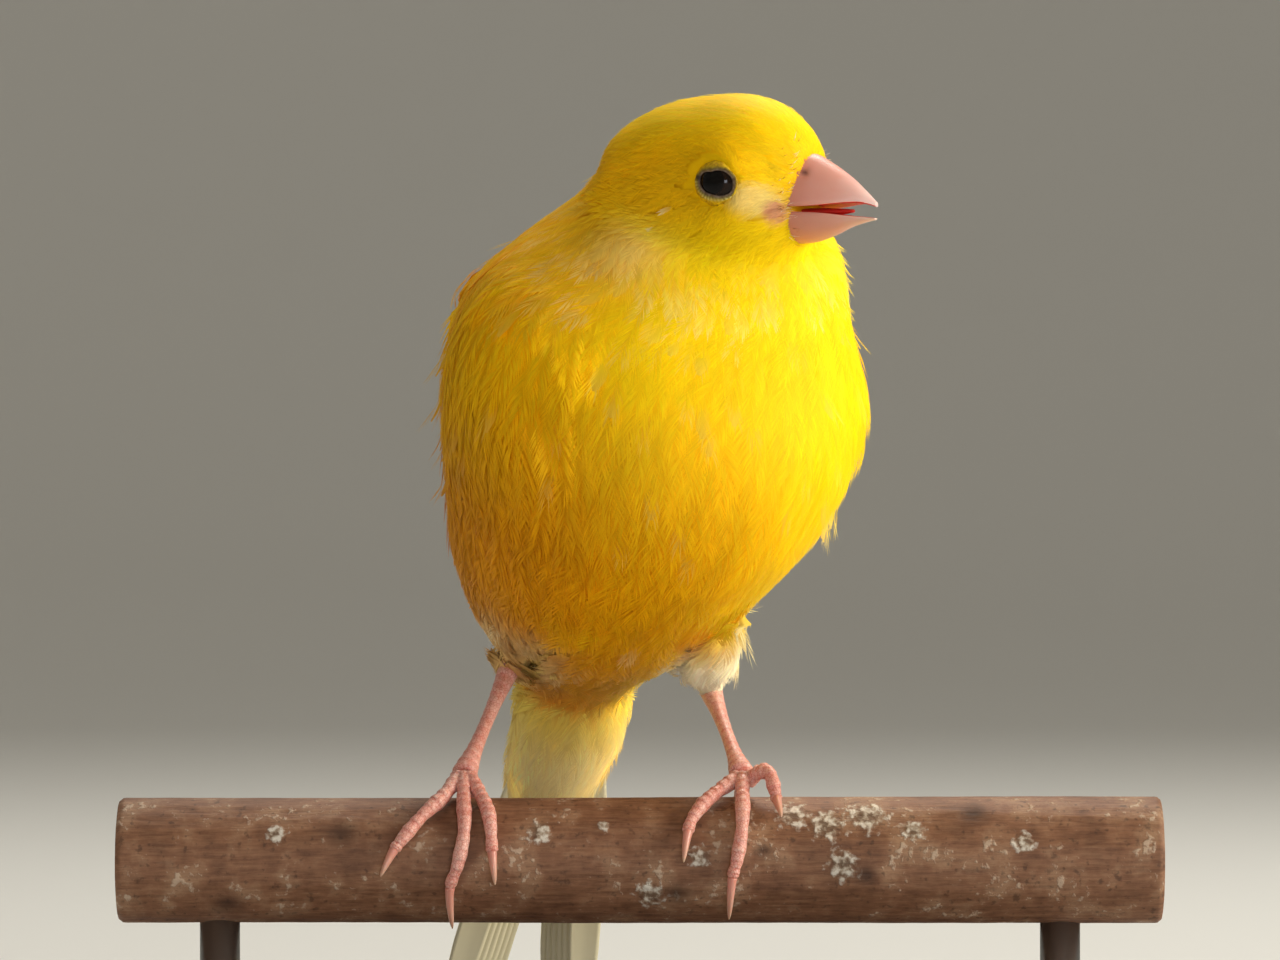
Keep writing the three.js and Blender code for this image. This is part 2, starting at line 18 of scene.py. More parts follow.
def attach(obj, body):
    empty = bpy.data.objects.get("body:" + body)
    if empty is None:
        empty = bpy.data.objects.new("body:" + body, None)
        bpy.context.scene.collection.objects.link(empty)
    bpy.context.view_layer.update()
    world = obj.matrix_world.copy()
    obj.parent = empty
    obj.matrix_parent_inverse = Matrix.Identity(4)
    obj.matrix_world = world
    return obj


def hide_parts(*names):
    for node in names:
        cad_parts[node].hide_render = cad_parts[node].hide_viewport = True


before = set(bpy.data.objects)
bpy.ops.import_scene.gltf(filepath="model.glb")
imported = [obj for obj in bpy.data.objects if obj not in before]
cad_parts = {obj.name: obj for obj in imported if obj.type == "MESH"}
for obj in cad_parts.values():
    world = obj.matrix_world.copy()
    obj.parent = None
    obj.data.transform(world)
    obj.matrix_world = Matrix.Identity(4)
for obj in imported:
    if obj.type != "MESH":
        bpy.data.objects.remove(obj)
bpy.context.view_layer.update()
MM = 0.001
print("loaded", len(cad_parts), "solids")

# %% [markdown]
# Colours are written as the sRGB hex values that a paint program shows. Blender's shaders count in linear
# light, so one function turns them. Another small function adds a shader node with its settings and links.

# %% Colour and node helpers
def linear(hex_colour):
    parts = [int(hex_colour[i:i + 2], 16) / 255 for i in (1, 3, 5)]
    return [c / 12.92 if c <= 0.04045 else ((c + 0.055) / 1.055) ** 2.4 for c in parts]


def rgba(hex_colour):
    return (*linear(hex_colour), 1)


def add_node(tree, kind, inputs=None, **settings):
    made = tree.nodes.new(kind)
    for name, value in settings.items():
        setattr(made, name, value)
    for name, value in (inputs or {}).items():
        socket = made.inputs[name]
        if isinstance(value, bpy.types.NodeSocket):
            tree.links.new(value, socket)
        else:
            socket.default_value = value
    return made


def new_material(name, **surface):
    material = bpy.data.materials.new(name)
    material.use_nodes = True
    tree = material.node_tree
    shader = tree.nodes["Principled BSDF"]
    for socket, value in surface.items():
        shader.inputs[socket.replace("_", " ")].default_value = value
    return material, tree, shader


def colour_steps(tree, factor, stops):
    ramp = add_node(tree, "ShaderNodeValToRGB", {"Fac": factor})
    elements = ramp.color_ramp.elements
    while len(elements) < len(stops):
        elements.new(0.5)
    for element, (place, colour) in zip(elements, stops):
        element.position = place
        element.color = rgba(colour)
    return ramp.outputs["Color"]


def mix_colour(tree, factor, first, second, blend="MIX"):
    mix = add_node(tree, "ShaderNodeMix", data_type="RGBA", blend_type=blend)
    for socket, value in ((mix.inputs[0], factor), (mix.inputs[6], first), (mix.inputs[7], second)):
        if isinstance(value, bpy.types.NodeSocket):
            tree.links.new(value, socket)
        else:
            socket.default_value = value
    return mix.outputs[2]


print("sRGB #f2cf1d is", [round(c, 3) for c in linear("#f2cf1d")], "in linear light")

# %% [markdown]
# The camera stands level, 606 mm in front of the perch and 70 mm above the table, with a long lens.
# From so far away a small bird is drawn almost without perspective, as in a cage portrait.

# %% Camera
CAMERA_PLACE = (0, -0.606, 0.070)
LENS = 168.75
camera_data = bpy.data.cameras.new("camera")
camera_data.lens = LENS
camera_data.sensor_width = 36
camera_data.clip_start = 0.05
camera = bpy.data.objects.new("camera", camera_data)
camera.location = CAMERA_PLACE
camera.rotation_euler = (math.radians(90), 0, 0)
bpy.context.scene.collection.objects.link(camera)
bpy.context.scene.camera = camera
print("camera at", CAMERA_PLACE)

# %% [markdown]
# The light is one big soft window high on the right, so the breast glows there and the other flank
# falls into golden shade. A weak pale world and a broad front light fill the shade, a small light puts the
# glint in the eye, and one high behind the bird lifts the crown and the outline.

# %% Light and floor
def softbox(name, place, aim, size, power, colour="#ffffff"):
    light = bpy.data.lights.new(name, "AREA")
    light.size = size
    light.energy = power
    light.color = linear(colour)
    box = bpy.data.objects.new(name, light)
    box.location = place
    box.rotation_euler = (Vector(aim) - Vector(place)).to_track_quat("-Z", "Y").to_euler()
    bpy.context.scene.collection.objects.link(box)


def spin_profile(bm, places, axis, steps, centre=(0, 0, 0), closed=False, merge=1e-5):
    """Spins a line of places a full turn round an axis and merges the seam and the poles."""
    verts = [bm.verts.new(place) for place in places]
    edges = [bm.edges.new(pair) for pair in zip(verts, verts[1:] + verts[:closed])]
    bmesh.ops.spin(bm, geom=verts + edges, cent=centre, axis=axis, angle=2 * math.pi, steps=steps,
                   use_merge=True)
    bmesh.ops.remove_doubles(bm, verts=bm.verts, dist=merge)


BREAST = (0.005, -0.02, 0.07)
EYE_GLINT = (0.009, -0.02, 0.099)
softbox("window", (0.72, -0.16, 0.29), BREAST, 0.42, 5.7, "#fff6e6")
softbox("fill", (-0.4, -0.85, 0.14), BREAST, 1.5, 0.7, "#ffe4c0")
softbox("glint", (0.16, -0.92, 0.12), EYE_GLINT, 0.19, 1.3, "#eaf1ff")
softbox("rim", (0.1, 0.42, 0.68), BREAST, 0.3, 3.1, "#fffaf0")
world = bpy.data.worlds.new("studio")
world.use_nodes = True
world.node_tree.nodes["Background"].inputs["Color"].default_value = rgba("#f6ecdc")
world.node_tree.nodes["Background"].inputs["Strength"].default_value = 0.3
bpy.context.scene.world = world
bpy.context.scene.view_settings.view_transform = "Standard"

floor_mesh = bpy.data.meshes.new("floor")
floor = bpy.data.objects.new("floor", floor_mesh)
bpy.context.scene.collection.objects.link(floor)
bm = bmesh.new()
# A round cove: a flat floor that turns up into a wall, so that no horizon line crosses the picture
FLOOR_RADIUS, COVE_RADIUS, WALL_HEIGHT, COVE_STEPS = 1.1, 1.0, 1.7, 12
bends = [math.radians(90) * k / COVE_STEPS for k in range(COVE_STEPS + 1)]
cove = [(FLOOR_RADIUS + COVE_RADIUS * math.sin(bend), 0, COVE_RADIUS * (1 - math.cos(bend)))
        for bend in bends]
spin_profile(bm, [(0, 0, 0), *cove, (FLOOR_RADIUS + COVE_RADIUS, 0, WALL_HEIGHT)], (0, 0, 1), 96)
bmesh.ops.recalc_face_normals(bm, faces=bm.faces)
if sum(face.normal.z for face in bm.faces) < 0:
    bmesh.ops.reverse_faces(bm, faces=bm.faces)
bm.to_mesh(floor_mesh)
bm.free()
floor_mesh.polygons.foreach_set("use_smooth", np.ones(len(floor_mesh.polygons), bool))
floor_paint, _, _ = new_material("matt_floor", Base_Color=rgba("#dfe0de"), Roughness=0.9)
floor_mesh.materials.append(floor_paint)
print("four lights and a floor")

# %% [markdown]
# The bird's form is known by stations, in millimetres: a [fore, up] place on the back and one on the
# belly, half the width, and how far the middle lies to the left. Reading the form at station t and angle
# around gives a place on the plumage. The coat needs this for the way it lies, since feathers run from the
# bill to the tail, along the stations.

# %% The bird's form
BODY_TURN = math.radians(17)
HEAD_TURN = math.radians(44)
PERCH_PLACE = np.array([0.8, -6.0, 32.0])
HEAD_AXIS = np.array([4.1, -7.5, 0.0])
TORSO = [
    ((-30.2, 22), (-21, 14), 5.9, 0),
    ((-29, 25), (-14.5, 16.2), 8.2, -0.8),
    ((-27.2, 29), (-7.5, 17.2), 11, -1.6),
    ((-25, 33.5), (1, 19.2), 13.6, -2.1),
    ((-22.6, 38.5), (9.6, 23.4), 16.6, -1.9),
    ((-20, 44), (16.8, 28.8), 19.1, -0.7),
    ((-17, 49.5), (21.2, 35), 20.3, 0),
    ((-14, 55), (22.3, 41.5), 20.9, 0.1),
    ((-10.5, 60.4), (21.2, 47.5), 18.9, -0.2),
    ((-6.8, 65.4), (18.4, 52.5), 17.3, 1.4),
    ((-3.2, 69.6), (16.6, 56.5), 13.4, 3.8),
    ((1.2, 72.4), (14, 60.5), 9.9, 2.8),
]
HEAD = [
    ((-10.4, 70.6), (-9.6, 62.5), 4.5, 0),
    ((-8.2, 73.3), (-7.5, 60), 7.2, 0),
    ((-4, 75.5), (-3.5, 58.2), 8.8, 0),
    ((1, 76.2), (1.5, 57.4), 9.2, 0),
    ((5.2, 76.1), (5.8, 57.6), 8.7, 0),
    ((8.8, 74.8), (8.7, 58.9), 7, 0),
    ((10.9, 73), (10, 60.3), 5, 0),
    ((12, 71), (10.8, 61.6), 3.5, 0),
]
TAIL = {"fore": -24.7, "up": 17, "slope": math.radians(57), "length": 45, "left": -0.5}


def tail_side(down, off):
    c, s = math.cos(TAIL["slope"]), math.sin(TAIL["slope"])
    return (TAIL["fore"] - c * down - s * off, TAIL["up"] - s * down + c * off)


TAIL_ROOT = [
    (tail_side(18, 1.1), tail_side(18, -1), 4.7, -0.8),
    (tail_side(11, 2.6), tail_side(11, -2.8), 5.5, -0.7),
    (tail_side(5, 4.5), tail_side(5, -4.2), 6.4, -0.1),
    ((-30.3, 21.6), (-21.3, 13.7), 6, 0.1),
]
WING_BED = [
    (tail_side(27, 1.6), tail_side(27, -3.6), 7, 0),
    (tail_side(17, 2.6), tail_side(17, -3.6), 6.8, 0),
    (tail_side(8, 4.6), tail_side(8, -4), 6.4, 0),
    *TORSO,
]


def curve_through(values, t):
    """A smooth curve through equally spaced values, read at t (any array), along the first axis."""
    values = np.asarray(values, float)
    t = np.asarray(t, float)
    i = np.clip(np.floor(t).astype(int), 0, len(values) - 2)
    u = t - i
    p0, p1, p2, p3 = (values[np.clip(i + k, 0, len(values) - 1)] for k in (-1, 0, 1, 2))
    if p0.ndim > u.ndim:
        u = u[..., None]
    return p1 + 0.5 * u * (p2 - p0 + u * (2 * p0 - 5 * p1 + 4 * p2 - p3 + u * (3 * (p1 - p2) + p3 - p0)))


def on_form(form, t, around):
    """Places in the bird's own millimetres, for arrays t and around (0 on the back, pi on the belly)."""
    t, around = np.broadcast_arrays(np.asarray(t, float), np.asarray(around, float))
    back, belly, half, left = (curve_through([station[k] for station in form], t) for k in range(4))
    middle = (back + belly) / 2
    towards = np.where((np.cos(around) > 0)[..., None], back, belly)
    side_view = middle + np.abs(np.cos(around))[..., None] * (towards - middle)
    return np.stack([left + half * np.sin(around), -side_view[..., 0], side_view[..., 1]], -1)


def turned(points, angle):
    c, s = math.cos(angle), math.sin(angle)
    x, y = points[..., 0] * c - points[..., 1] * s, points[..., 0] * s + points[..., 1] * c
    return np.stack([x, y, points[..., 2]], -1)


def bird_to_world(points):
    return (turned(np.asarray(points, float), BODY_TURN) + PERCH_PLACE) * MM


def head_to_world(points):
    return bird_to_world(turned(np.asarray(points, float), HEAD_TURN) + HEAD_AXIS)


def world_to_bird(points):
    return turned(np.asarray(points, float) / MM - PERCH_PLACE, -BODY_TURN)


def world_to_head(points):
    return turned(world_to_bird(points) - HEAD_AXIS, -HEAD_TURN)


def smooth_step(low, high, x):
    u = np.clip((np.asarray(x, float) - low) / (high - low), 0, 1)
    return u * u * (3 - 2 * u)


print("breast point", bird_to_world(on_form(TORSO, 7, math.pi)).round(4))

# %% [markdown]
# A few helpers put a mesh into the scene, apply its modifiers, and say which body and imported solids a piece
# belongs to. Blender keeps the numbers of a mesh in long lists, and numpy reads and writes these in one
# go, which matters for a coat of a million triangles.

# %% Piece helpers
def new_piece(name, bm, *materials):
    mesh = bpy.data.meshes.new(name)
    bm.to_mesh(mesh)
    bm.free()
    return link_piece(name, mesh, *materials)


def link_piece(name, mesh, *materials):
    piece = bpy.data.objects.new(name, mesh)
    bpy.context.scene.collection.objects.link(piece)
    for material in materials:
        mesh.materials.append(material)
    mesh.polygons.foreach_set("use_smooth", np.ones(len(mesh.polygons), bool))
    return piece


def settle(piece):
    """Applies a piece's modifiers, so that its final mesh is its own."""
    seen = piece.evaluated_get(bpy.context.evaluated_depsgraph_get())
    mesh = bpy.data.meshes.new_from_object(seen)
    piece.modifiers.clear()
    piece.data = mesh
    mesh.polygons.foreach_set("use_smooth", np.ones(len(mesh.polygons), bool))


def coordinates(mesh, what="co"):
    """Rows of the places of a mesh's vertices, or of their normals."""
    rows, key = (mesh.vertices, "co") if what == "co" else (mesh.vertex_normals, "vector")
    out = np.zeros(len(rows) * 3)
    rows.foreach_get(key, out)
    return out.reshape(-1, 3)


def move_vertices(mesh, rows):
    mesh.vertices.foreach_set("co", rows.astype(np.float32).ravel())
    mesh.update()


def number_attribute(mesh, name, values):
    layer = mesh.attributes.new(name, "FLOAT", "POINT")
    layer.data.foreach_set("value", np.ascontiguousarray(values, np.float32))


def dress(piece, slot, *nodes):
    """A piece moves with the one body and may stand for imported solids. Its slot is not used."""
    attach(piece, "root")
    if nodes:
        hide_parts(*nodes)
    return piece


def mesh_from_arrays(name, points, faces):
    """A mesh from rows of points and rows of equal faces, for the many small things of the coat."""
    mesh = bpy.data.meshes.new(name)
    mesh.vertices.add(len(points))
    mesh.vertices.foreach_set("co", np.ascontiguousarray(points, np.float32).ravel())
    mesh.loops.add(faces.size)
    mesh.loops.foreach_set("vertex_index", np.ascontiguousarray(faces, np.int32).ravel())
    mesh.polygons.add(len(faces))
    mesh.polygons.foreach_set("loop_start", np.arange(0, faces.size, faces.shape[1], dtype=np.int32))
    mesh.update(calc_edges=True)
    return mesh


print("helpers ready")

# %% [markdown]
# The folded wing lies on the body between two lines that run along the stations. A place on it is known by
# its station, its row between the two lines, and its height over the body. A closed tube through rings of
# such places is a loft, which starts here as a circle that is extruded from ring to ring.

# %% Places over the form, and lofts
# The folded wing's lower and upper edges, as angles round the body at each station of its bed
WING_LOW = [0.42, 0.45, 0.52, 0.62, 0.72, 0.79, 0.84, 0.89, 0.94, 0.99, 1.04, 1.12, 1.2]
WING_HIGH = [0.25, 0.25, 0.24, 0.22, 0.2, 0.2, 0.2, 0.2, 0.22, 0.26, 0.34, 0.5, 0.8]


def wing_place(side, t, row, height):
    """A place on the folded wing, side 1 left and -1 right, row 0 on its lower edge and 1 on the upper."""
    low, high = curve_through(WING_LOW, t), curve_through(WING_HIGH, t)
    return off_form(WING_BED, t, side * (low + (high - low) * row), height)


def off_form(form, t, around, height):
    """Places at a height over the form, along its outward direction."""
    e = 0.02
    t, around, height = np.broadcast_arrays(*(np.asarray(v, float) for v in (t, around, height)))
    after, before = np.minimum(t + e, len(form) - 1), np.maximum(t - e, 0)
    along = on_form(form, after, around) - on_form(form, before, around)
    across = on_form(form, t, around + e) - on_form(form, t, around - e)
    out = np.cross(along, across)
    out /= np.linalg.norm(out, axis=-1, keepdims=True)
    return on_form(form, t, around) + out * height[..., None]


def loft(bm, rings):
    """A closed tube through rings of places: a circle, extruded from ring to ring and capped at both ends."""
    count = len(rings[0])
    circle = bmesh.ops.create_circle(bm, radius=1, segments=count)["verts"]
    for n, ring in enumerate(rings):
        if n:
            made = bmesh.ops.extrude_edge_only(bm, edges=edges)["geom"]
            fresh = {v for v in made if isinstance(v, bmesh.types.BMVert)}
            circle = [next(edge.other_vert(v) for edge in v.link_edges if edge.other_vert(v) in fresh)
                      for v in circle]
        for vertex, place in zip(circle, ring):
            vertex.co = place
        edges = [bm.edges.get((circle[i - 1], circle[i])) for i in range(count)]
        if n in (0, len(rings) - 1):
            bmesh.ops.contextual_create(bm, geom=edges)


def add_ball(bm, middle, radius):
    placed = Matrix.Translation(Vector(middle))
    bmesh.ops.create_icosphere(bm, subdivisions=3, radius=radius * MM, matrix=placed)


def add_smoothing(piece, name, factor, iterations, group=""):
    smoothing = piece.modifiers.new(name, "SMOOTH")
    smoothing.factor, smoothing.iterations, smoothing.vertex_group = factor, iterations, group


print("the wing's lower edge lies", WING_LOW[0], "to", WING_LOW[-1], "radians round from the back")

# %% [markdown]
# One skin carries the coat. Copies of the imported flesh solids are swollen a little, so that the thin gaps
# between them close, joined, and turned by a voxel remesh into one closed surface. The skin is then drawn
# back in by the coat's depth, so that the tips of the feathers end where the solids end.

# %% Skin
SWELL, VOXEL, SOCKET_BALL, EYE_RADIUS = 0.35, 0.42, 3.3, 2.5
EYE_PLACE = {"left": (6.1, -4.8, 67.1), "right": (-6.1, -4.8, 67.1)}
FLESH = ["torso", "neck", "head", "thigh_left", "thigh_right"]
# Each thigh runs from the knee to the ankle
KNEES = {"left": ((4.8, -4.4, 27.5), (10.7, 13, 16.5)), "right": ((-8.5, -2, 28), (-9.4, 17, 19.2))}
# Fat under the skin that fills the crease inside the right thigh: share of the way down it, and radius
PADS = [(0.45, 4.0), (0.65, 3.4), (0.82, 2.8), (0.94, 2.1)]
PAD_SHIFT = (1.7, 0, 0.9)
# The arm under the wing's coverts: station, how full it is, and how much of the wing's rows it spans
ARM = [(8.1, 0.1, 1), (8.6, 0.7, 1), (9.2, 1, 1), (9.9, 1, 1), (10.6, 0.9, 0.94), (11.2, 0.7, 0.8),
       (11.5, 0.3, 0.5)]
ARM_ROW = 0.42
skin_bm = bmesh.new()
for name in FLESH:
    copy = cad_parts[name].data.copy()
    part_bm = bmesh.new()
    part_bm.from_mesh(copy)
    bmesh.ops.remove_doubles(part_bm, verts=part_bm.verts, dist=1e-6)
    part_bm.normal_update()
    for vertex in part_bm.verts:
        vertex.co += vertex.normal * SWELL * MM
    part_bm.to_mesh(copy)
    part_bm.free()
    skin_bm.from_mesh(copy)
    bpy.data.meshes.remove(copy)
for place in EYE_PLACE.values():
    add_ball(skin_bm, head_to_world(place), SOCKET_BALL)
knee, ankle = (np.array(place) for place in KNEES["right"])
for share, radius in PADS:
    add_ball(skin_bm, bird_to_world(knee + share * (ankle - knee) + PAD_SHIFT), radius)
angles = np.linspace(0, 2 * math.pi, 24, endpoint=False)
loft(skin_bm, [bird_to_world(off_form(TAIL_ROOT, t, angles, SWELL)) for t in np.linspace(0.2, 3, 8)])
for side in (1, -1):
    rows = np.linspace(-0.02, 1.02, 9)
    rings = []
    for t, full, squeeze in ARM:
        row = ARM_ROW + (rows - ARM_ROW) * squeeze
        bulge = 0.3 + full * 0.8 * np.sqrt(np.maximum(np.sin(math.pi * (0.04 + 0.92 * rows)), 0))
        over = wing_place(side, t, row, 0.6 + bulge)
        under = wing_place(side, t, row[::-1], -1.5)
        rings.append(bird_to_world(np.concatenate([over, under])))
    loft(skin_bm, rings)
bmesh.ops.recalc_face_normals(skin_bm, faces=skin_bm.faces)
skin = new_piece("skin", skin_bm)
remesh = skin.modifiers.new("one_surface", "REMESH")
remesh.mode = "VOXEL"
remesh.voxel_size = VOXEL * MM
add_smoothing(skin, "soften", 0.5, 6)
settle(skin)
print("one surface of", len(skin.data.polygons), "faces")

# %% [markdown]
# On the bird, loose feathers fill the creases where the thighs meet the belly, and the groove under the
# throat. Here the skin itself is smoothed there, by modifiers that work inside two vertex groups, so that
# the coat over it has no fold to fall into.

# %% Fill the creases
BIB_UP, BIB_SPREAD = 59, 3.2
crease, bib = (skin.vertex_groups.new(name=name) for name in ("crease", "bib"))
for vertex in skin.data.vertices:
    bird = world_to_bird(np.array(vertex.co))
    for knee, _ in KNEES.values():
        near = float(smooth_step(13, 8, np.linalg.norm(bird - knee)))
        if near > 0:
            crease.add([vertex.index], near, "REPLACE")
    collar = 0.8 * math.exp(-((bird[2] - BIB_UP) / BIB_SPREAD) ** 2)
    if collar > 0.05:
        bib.add([vertex.index], collar, "REPLACE")
add_smoothing(skin, "fill_creases", 0.6, 90, "crease")
add_smoothing(skin, "fill_throat", 0.6, 40, "bib")
settle(skin)
print("skin has", len(skin.data.polygons), "faces")

# %% [markdown]
# The lie of the coat is read from samples of the forms: at each sample, feathers point from the bill
# towards the tail. On the cheeks and throat they also hang down a little. Any place on the skin takes a
# blend of its nearest samples, so the lie turns smoothly from the head over the neck to the breast.

# %% Lie of the coat
HEAD_ID, TORSO_ID, THIGH_ID, TAIL_ID = 0, 1, 2, 3
DOWN = np.array([0, 0, -1.0])
THIGH_SHARES, THIGH_RADII = [0, 0.4, 0.8, 1], [4.6, 3.1, 1.9, 1.35]
LIE_NEIGHBOURS = 10


def unit(vectors):
    return vectors / np.maximum(np.linalg.norm(vectors, axis=-1, keepdims=True), 1e-12)


def form_samples(form, identity, to_world, stations, hang):
    t, around = (grid.ravel() for grid in np.meshgrid(
        np.linspace(0, len(form) - 1, stations), np.linspace(-math.pi, math.pi, 72, endpoint=False)))
    step = 0.02
    here = to_world(on_form(form, t, around))
    flow = unit(to_world(on_form(form, np.maximum(t - step, 0), around))
                - to_world(on_form(form, np.minimum(t + step, len(form) - 1), around)))
    flow = unit(flow + DOWN * hang(t, around)[:, None])
    return here, flow, np.full(len(t), identity), t, around


def cheek_hang(t, around):
    return 0.75 * smooth_step(0.25, -0.8, np.cos(around)) * smooth_step(7.4, 5, t)


def no_hang(t, around):
    return np.zeros(len(t))


def thigh_samples(side):
    knee, ankle = (bird_to_world(np.array(p)) for p in KNEES[side])
    along = unit(ankle - knee)
    across = unit(np.cross(along, [1, 0, 0]))
    other = np.cross(along, across)
    u, angle = (g.ravel() for g in np.meshgrid(np.linspace(0, 1, 14), np.linspace(0, 2 * math.pi, 20)))
    radius = np.interp(u, THIGH_SHARES, THIGH_RADII) * MM
    out = across * np.cos(angle)[:, None] + other * np.sin(angle)[:, None]
    here = knee + (ankle - knee) * u[:, None] + out * radius[:, None]
    return here, np.broadcast_to(along, here.shape), np.full(len(u), THIGH_ID), u, angle - math.pi


groups = [
    form_samples(TORSO, TORSO_ID, bird_to_world, 90, no_hang),
    form_samples(HEAD, HEAD_ID, head_to_world, 60, cheek_hang),
    form_samples(TAIL_ROOT, TAIL_ID, bird_to_world, 30, no_hang),
    thigh_samples("left"),
    thigh_samples("right"),
]
sample_place, sample_flow, sample_form, sample_t, sample_around = (np.concatenate(g) for g in zip(*groups))
sample_tree = KDTree(len(sample_place))
for i, place in enumerate(sample_place):
    sample_tree.insert(place, i)
sample_tree.balance()


def read_lie(points, normals):
    """The lie's direction in the surface, and the form, station and angle, at each place."""
    flow = np.zeros((len(points), 3))
    nearest = np.zeros(len(points), int)
    for n, point in enumerate(points):
        found = sample_tree.find_n(point, LIE_NEIGHBOURS)
        nearest[n] = found[0][1]
        for _, index, distance in found:
            flow[n] += sample_flow[index] / (distance + 0.4 * MM)
    flow -= normals * np.sum(flow * normals, -1, keepdims=True)
    return unit(flow), sample_form[nearest], sample_t[nearest], sample_around[nearest]


print(len(sample_place), "samples of the lie")

# %% [markdown]
# The coat is thin on the face and deep on the breast and belly. The same numbers draw the skin in and
# later set how high a feather's tip stands.

# %% Draw the skin in by the coat's depth
# In the head's own millimetres, the last two without the sign of the side
BILL_BASE, MOUTH_CORNER, NAPE = (0, -10.6, 66), (3.9, 9.3, 64.3), (5, 9.5, 70)


def to_bill(points):
    """Distance in mm from the middle of the bill's base, in the head's own frame."""
    return np.linalg.norm(world_to_head(points) - BILL_BASE, axis=-1)


def eye_distance(points):
    head = world_to_head(points)
    return np.minimum(*(np.linalg.norm(head - np.array(place), axis=-1) for place in EYE_PLACE.values()))


def eye_angle(points):
    """Degrees away from the outward axis of the eye whose side a place is on."""
    head = world_to_head(points)
    right, left = (head - np.array(EYE_PLACE[name]) for name in ("right", "left"))
    offset = np.where(head[:, :1] < 0, right * [-1, 1, 1], left)
    return np.degrees(np.arccos(np.clip(offset[:, 0] / np.linalg.norm(offset, axis=1), -1, 1)))


def gape_distance(points):
    """Distance in mm from the soft corners of the mouth."""
    head = np.abs(world_to_head(points))
    return np.linalg.norm((head - MOUTH_CORNER) * [0.6, 1, 0.9], axis=-1)


def coat_depth(points, form, t):
    """How far the coat stands over the skin, in mm."""
    depth = np.select([form == HEAD_ID, form == THIGH_ID, form == TAIL_ID], [0.75, 0.35, 0.9], 0)
    depth = np.where(form == TORSO_ID, 0.8 + 0.5 * smooth_step(10.6, 8, t), depth)
    face = smooth_step(3.5, 8.5, to_bill(points)) * smooth_step(3, 5.5, eye_distance(points))
    return np.where(form == HEAD_ID, 0.3 + (depth - 0.3) * face, depth)


def ruffle(points, form, t, around):
    """How far the coat is puffed out at the nape and the shoulders, in mm."""
    head = world_to_head(points)
    far = np.linalg.norm(np.where([True, False, False], np.abs(head), head) - NAPE, axis=1)
    nape = 0.4 * np.exp(-(far / 5.2) ** 2)
    sideways = smooth_step(0.95, 1.35, np.abs(around)) * smooth_step(2.6, 2.1, np.abs(around))
    shoulder = smooth_step(4.6, 6, t) * np.where(around < 0, 1.15, 0.7 * smooth_step(6.8, 8, t)) * sideways
    return nape + np.where(form == TORSO_ID, shoulder * smooth_step(9.4, 8.2, t), 0)


skin_points, skin_normals = coordinates(skin.data), coordinates(skin.data, "normal")
_, skin_form, skin_t, skin_around = read_lie(skin_points, skin_normals)
skin_depth = coat_depth(skin_points, skin_form, skin_t)
puff = ruffle(skin_points, skin_form, skin_t, skin_around)
skin_points = skin_points - skin_normals * ((SWELL + skin_depth - puff) * MM)[:, None]

# Round each eye the skin sinks into a socket that the lid ring closes, narrower above and behind. Its
# floor, its edge and its reach are in mm from the middle of the eye.
SOCKET_DEEP, SOCKET_EDGE, SOCKET_REACH = 2.2, 2.74, 3.8
for place in EYE_PLACE.values():
    middle = head_to_world(np.array(place))
    away = unit(head_to_world(np.array(place) + [np.sign(place[0]), 0, 0]) - middle)
    forward = unit(head_to_world(np.array(place) + [0, -1, 0]) - middle)
    offset = skin_points - middle
    reach = np.linalg.norm(offset, axis=1) / MM
    angle = np.degrees(np.arccos(np.clip(offset @ away / np.maximum(reach * MM, 1e-9), -1, 1)))
    across = np.maximum(reach * MM * np.sin(np.radians(angle)), 1e-9)
    brow = smooth_step(-0.1, 0.6, offset[:, 2] / across)
    behind = smooth_step(0, -0.8, offset @ forward / across)
    rim = 63 - 13 * brow - 7 * behind * (1 - brow)
    outside = smooth_step(rim - 9, rim + 1, angle)
    wanted = SOCKET_DEEP + outside * (np.maximum(reach, SOCKET_EDGE) - SOCKET_DEEP)
    change = (reach < SOCKET_REACH) & (angle < 88)
    skin_points[change] = middle + offset[change] * (wanted / reach)[change, None]
move_vertices(skin.data, skin_points)
print("coat depth from", skin_depth.min().round(2), "to", skin_depth.max().round(2), "mm")

# %% [markdown]
# The markings are one function of the place on the bird, so that skin and coat always agree. A yellow
# canary is lemon on the crown and breast. The back of the head, the bird's right side and the low belly are
# more golden: partly the bird's own gold and partly painted shade, where they turn away from the window.
# The thighs and the feathers under the tail are pale, and the lores in front of the eye are whitish. The
# bird's left thigh, on the window's side, is painted much whiter than the right one, as painted light.

# %% Markings
LEMON = np.array(linear("#fbdb08"))
GOLD = np.array(linear("#e99c00"))
PALE = np.array(linear("#fbe8ac"))
LORE = np.array(linear("#f0dc98"))
FROST = np.array(linear("#fff2c4"))
THIGH_WHITE_PAINTED_LIGHT = np.array(linear("#fff6da"))
GAPE = np.array(linear("#d9937a"))
# The ear patch's middle, in mm along the perch and above the table
EAR = (-1.2, 91.8)


def blend(first, second, amount):
    return first + (second - first) * np.clip(amount, 0, 1)[:, None]


def thigh_share(bird, side):
    """How far a place belongs to a thigh's pale lower part, falling off smoothly over the belly."""
    knee, ankle = (np.array(place) for place in KNEES[side])
    along = ankle - knee
    share = np.clip((bird - knee) @ along / (along @ along), 0, 1)
    far = np.linalg.norm(bird - knee - share[:, None] * along, axis=1)
    return smooth_step(6.4, 4.0, far) * smooth_step(0.1, 0.65, share)


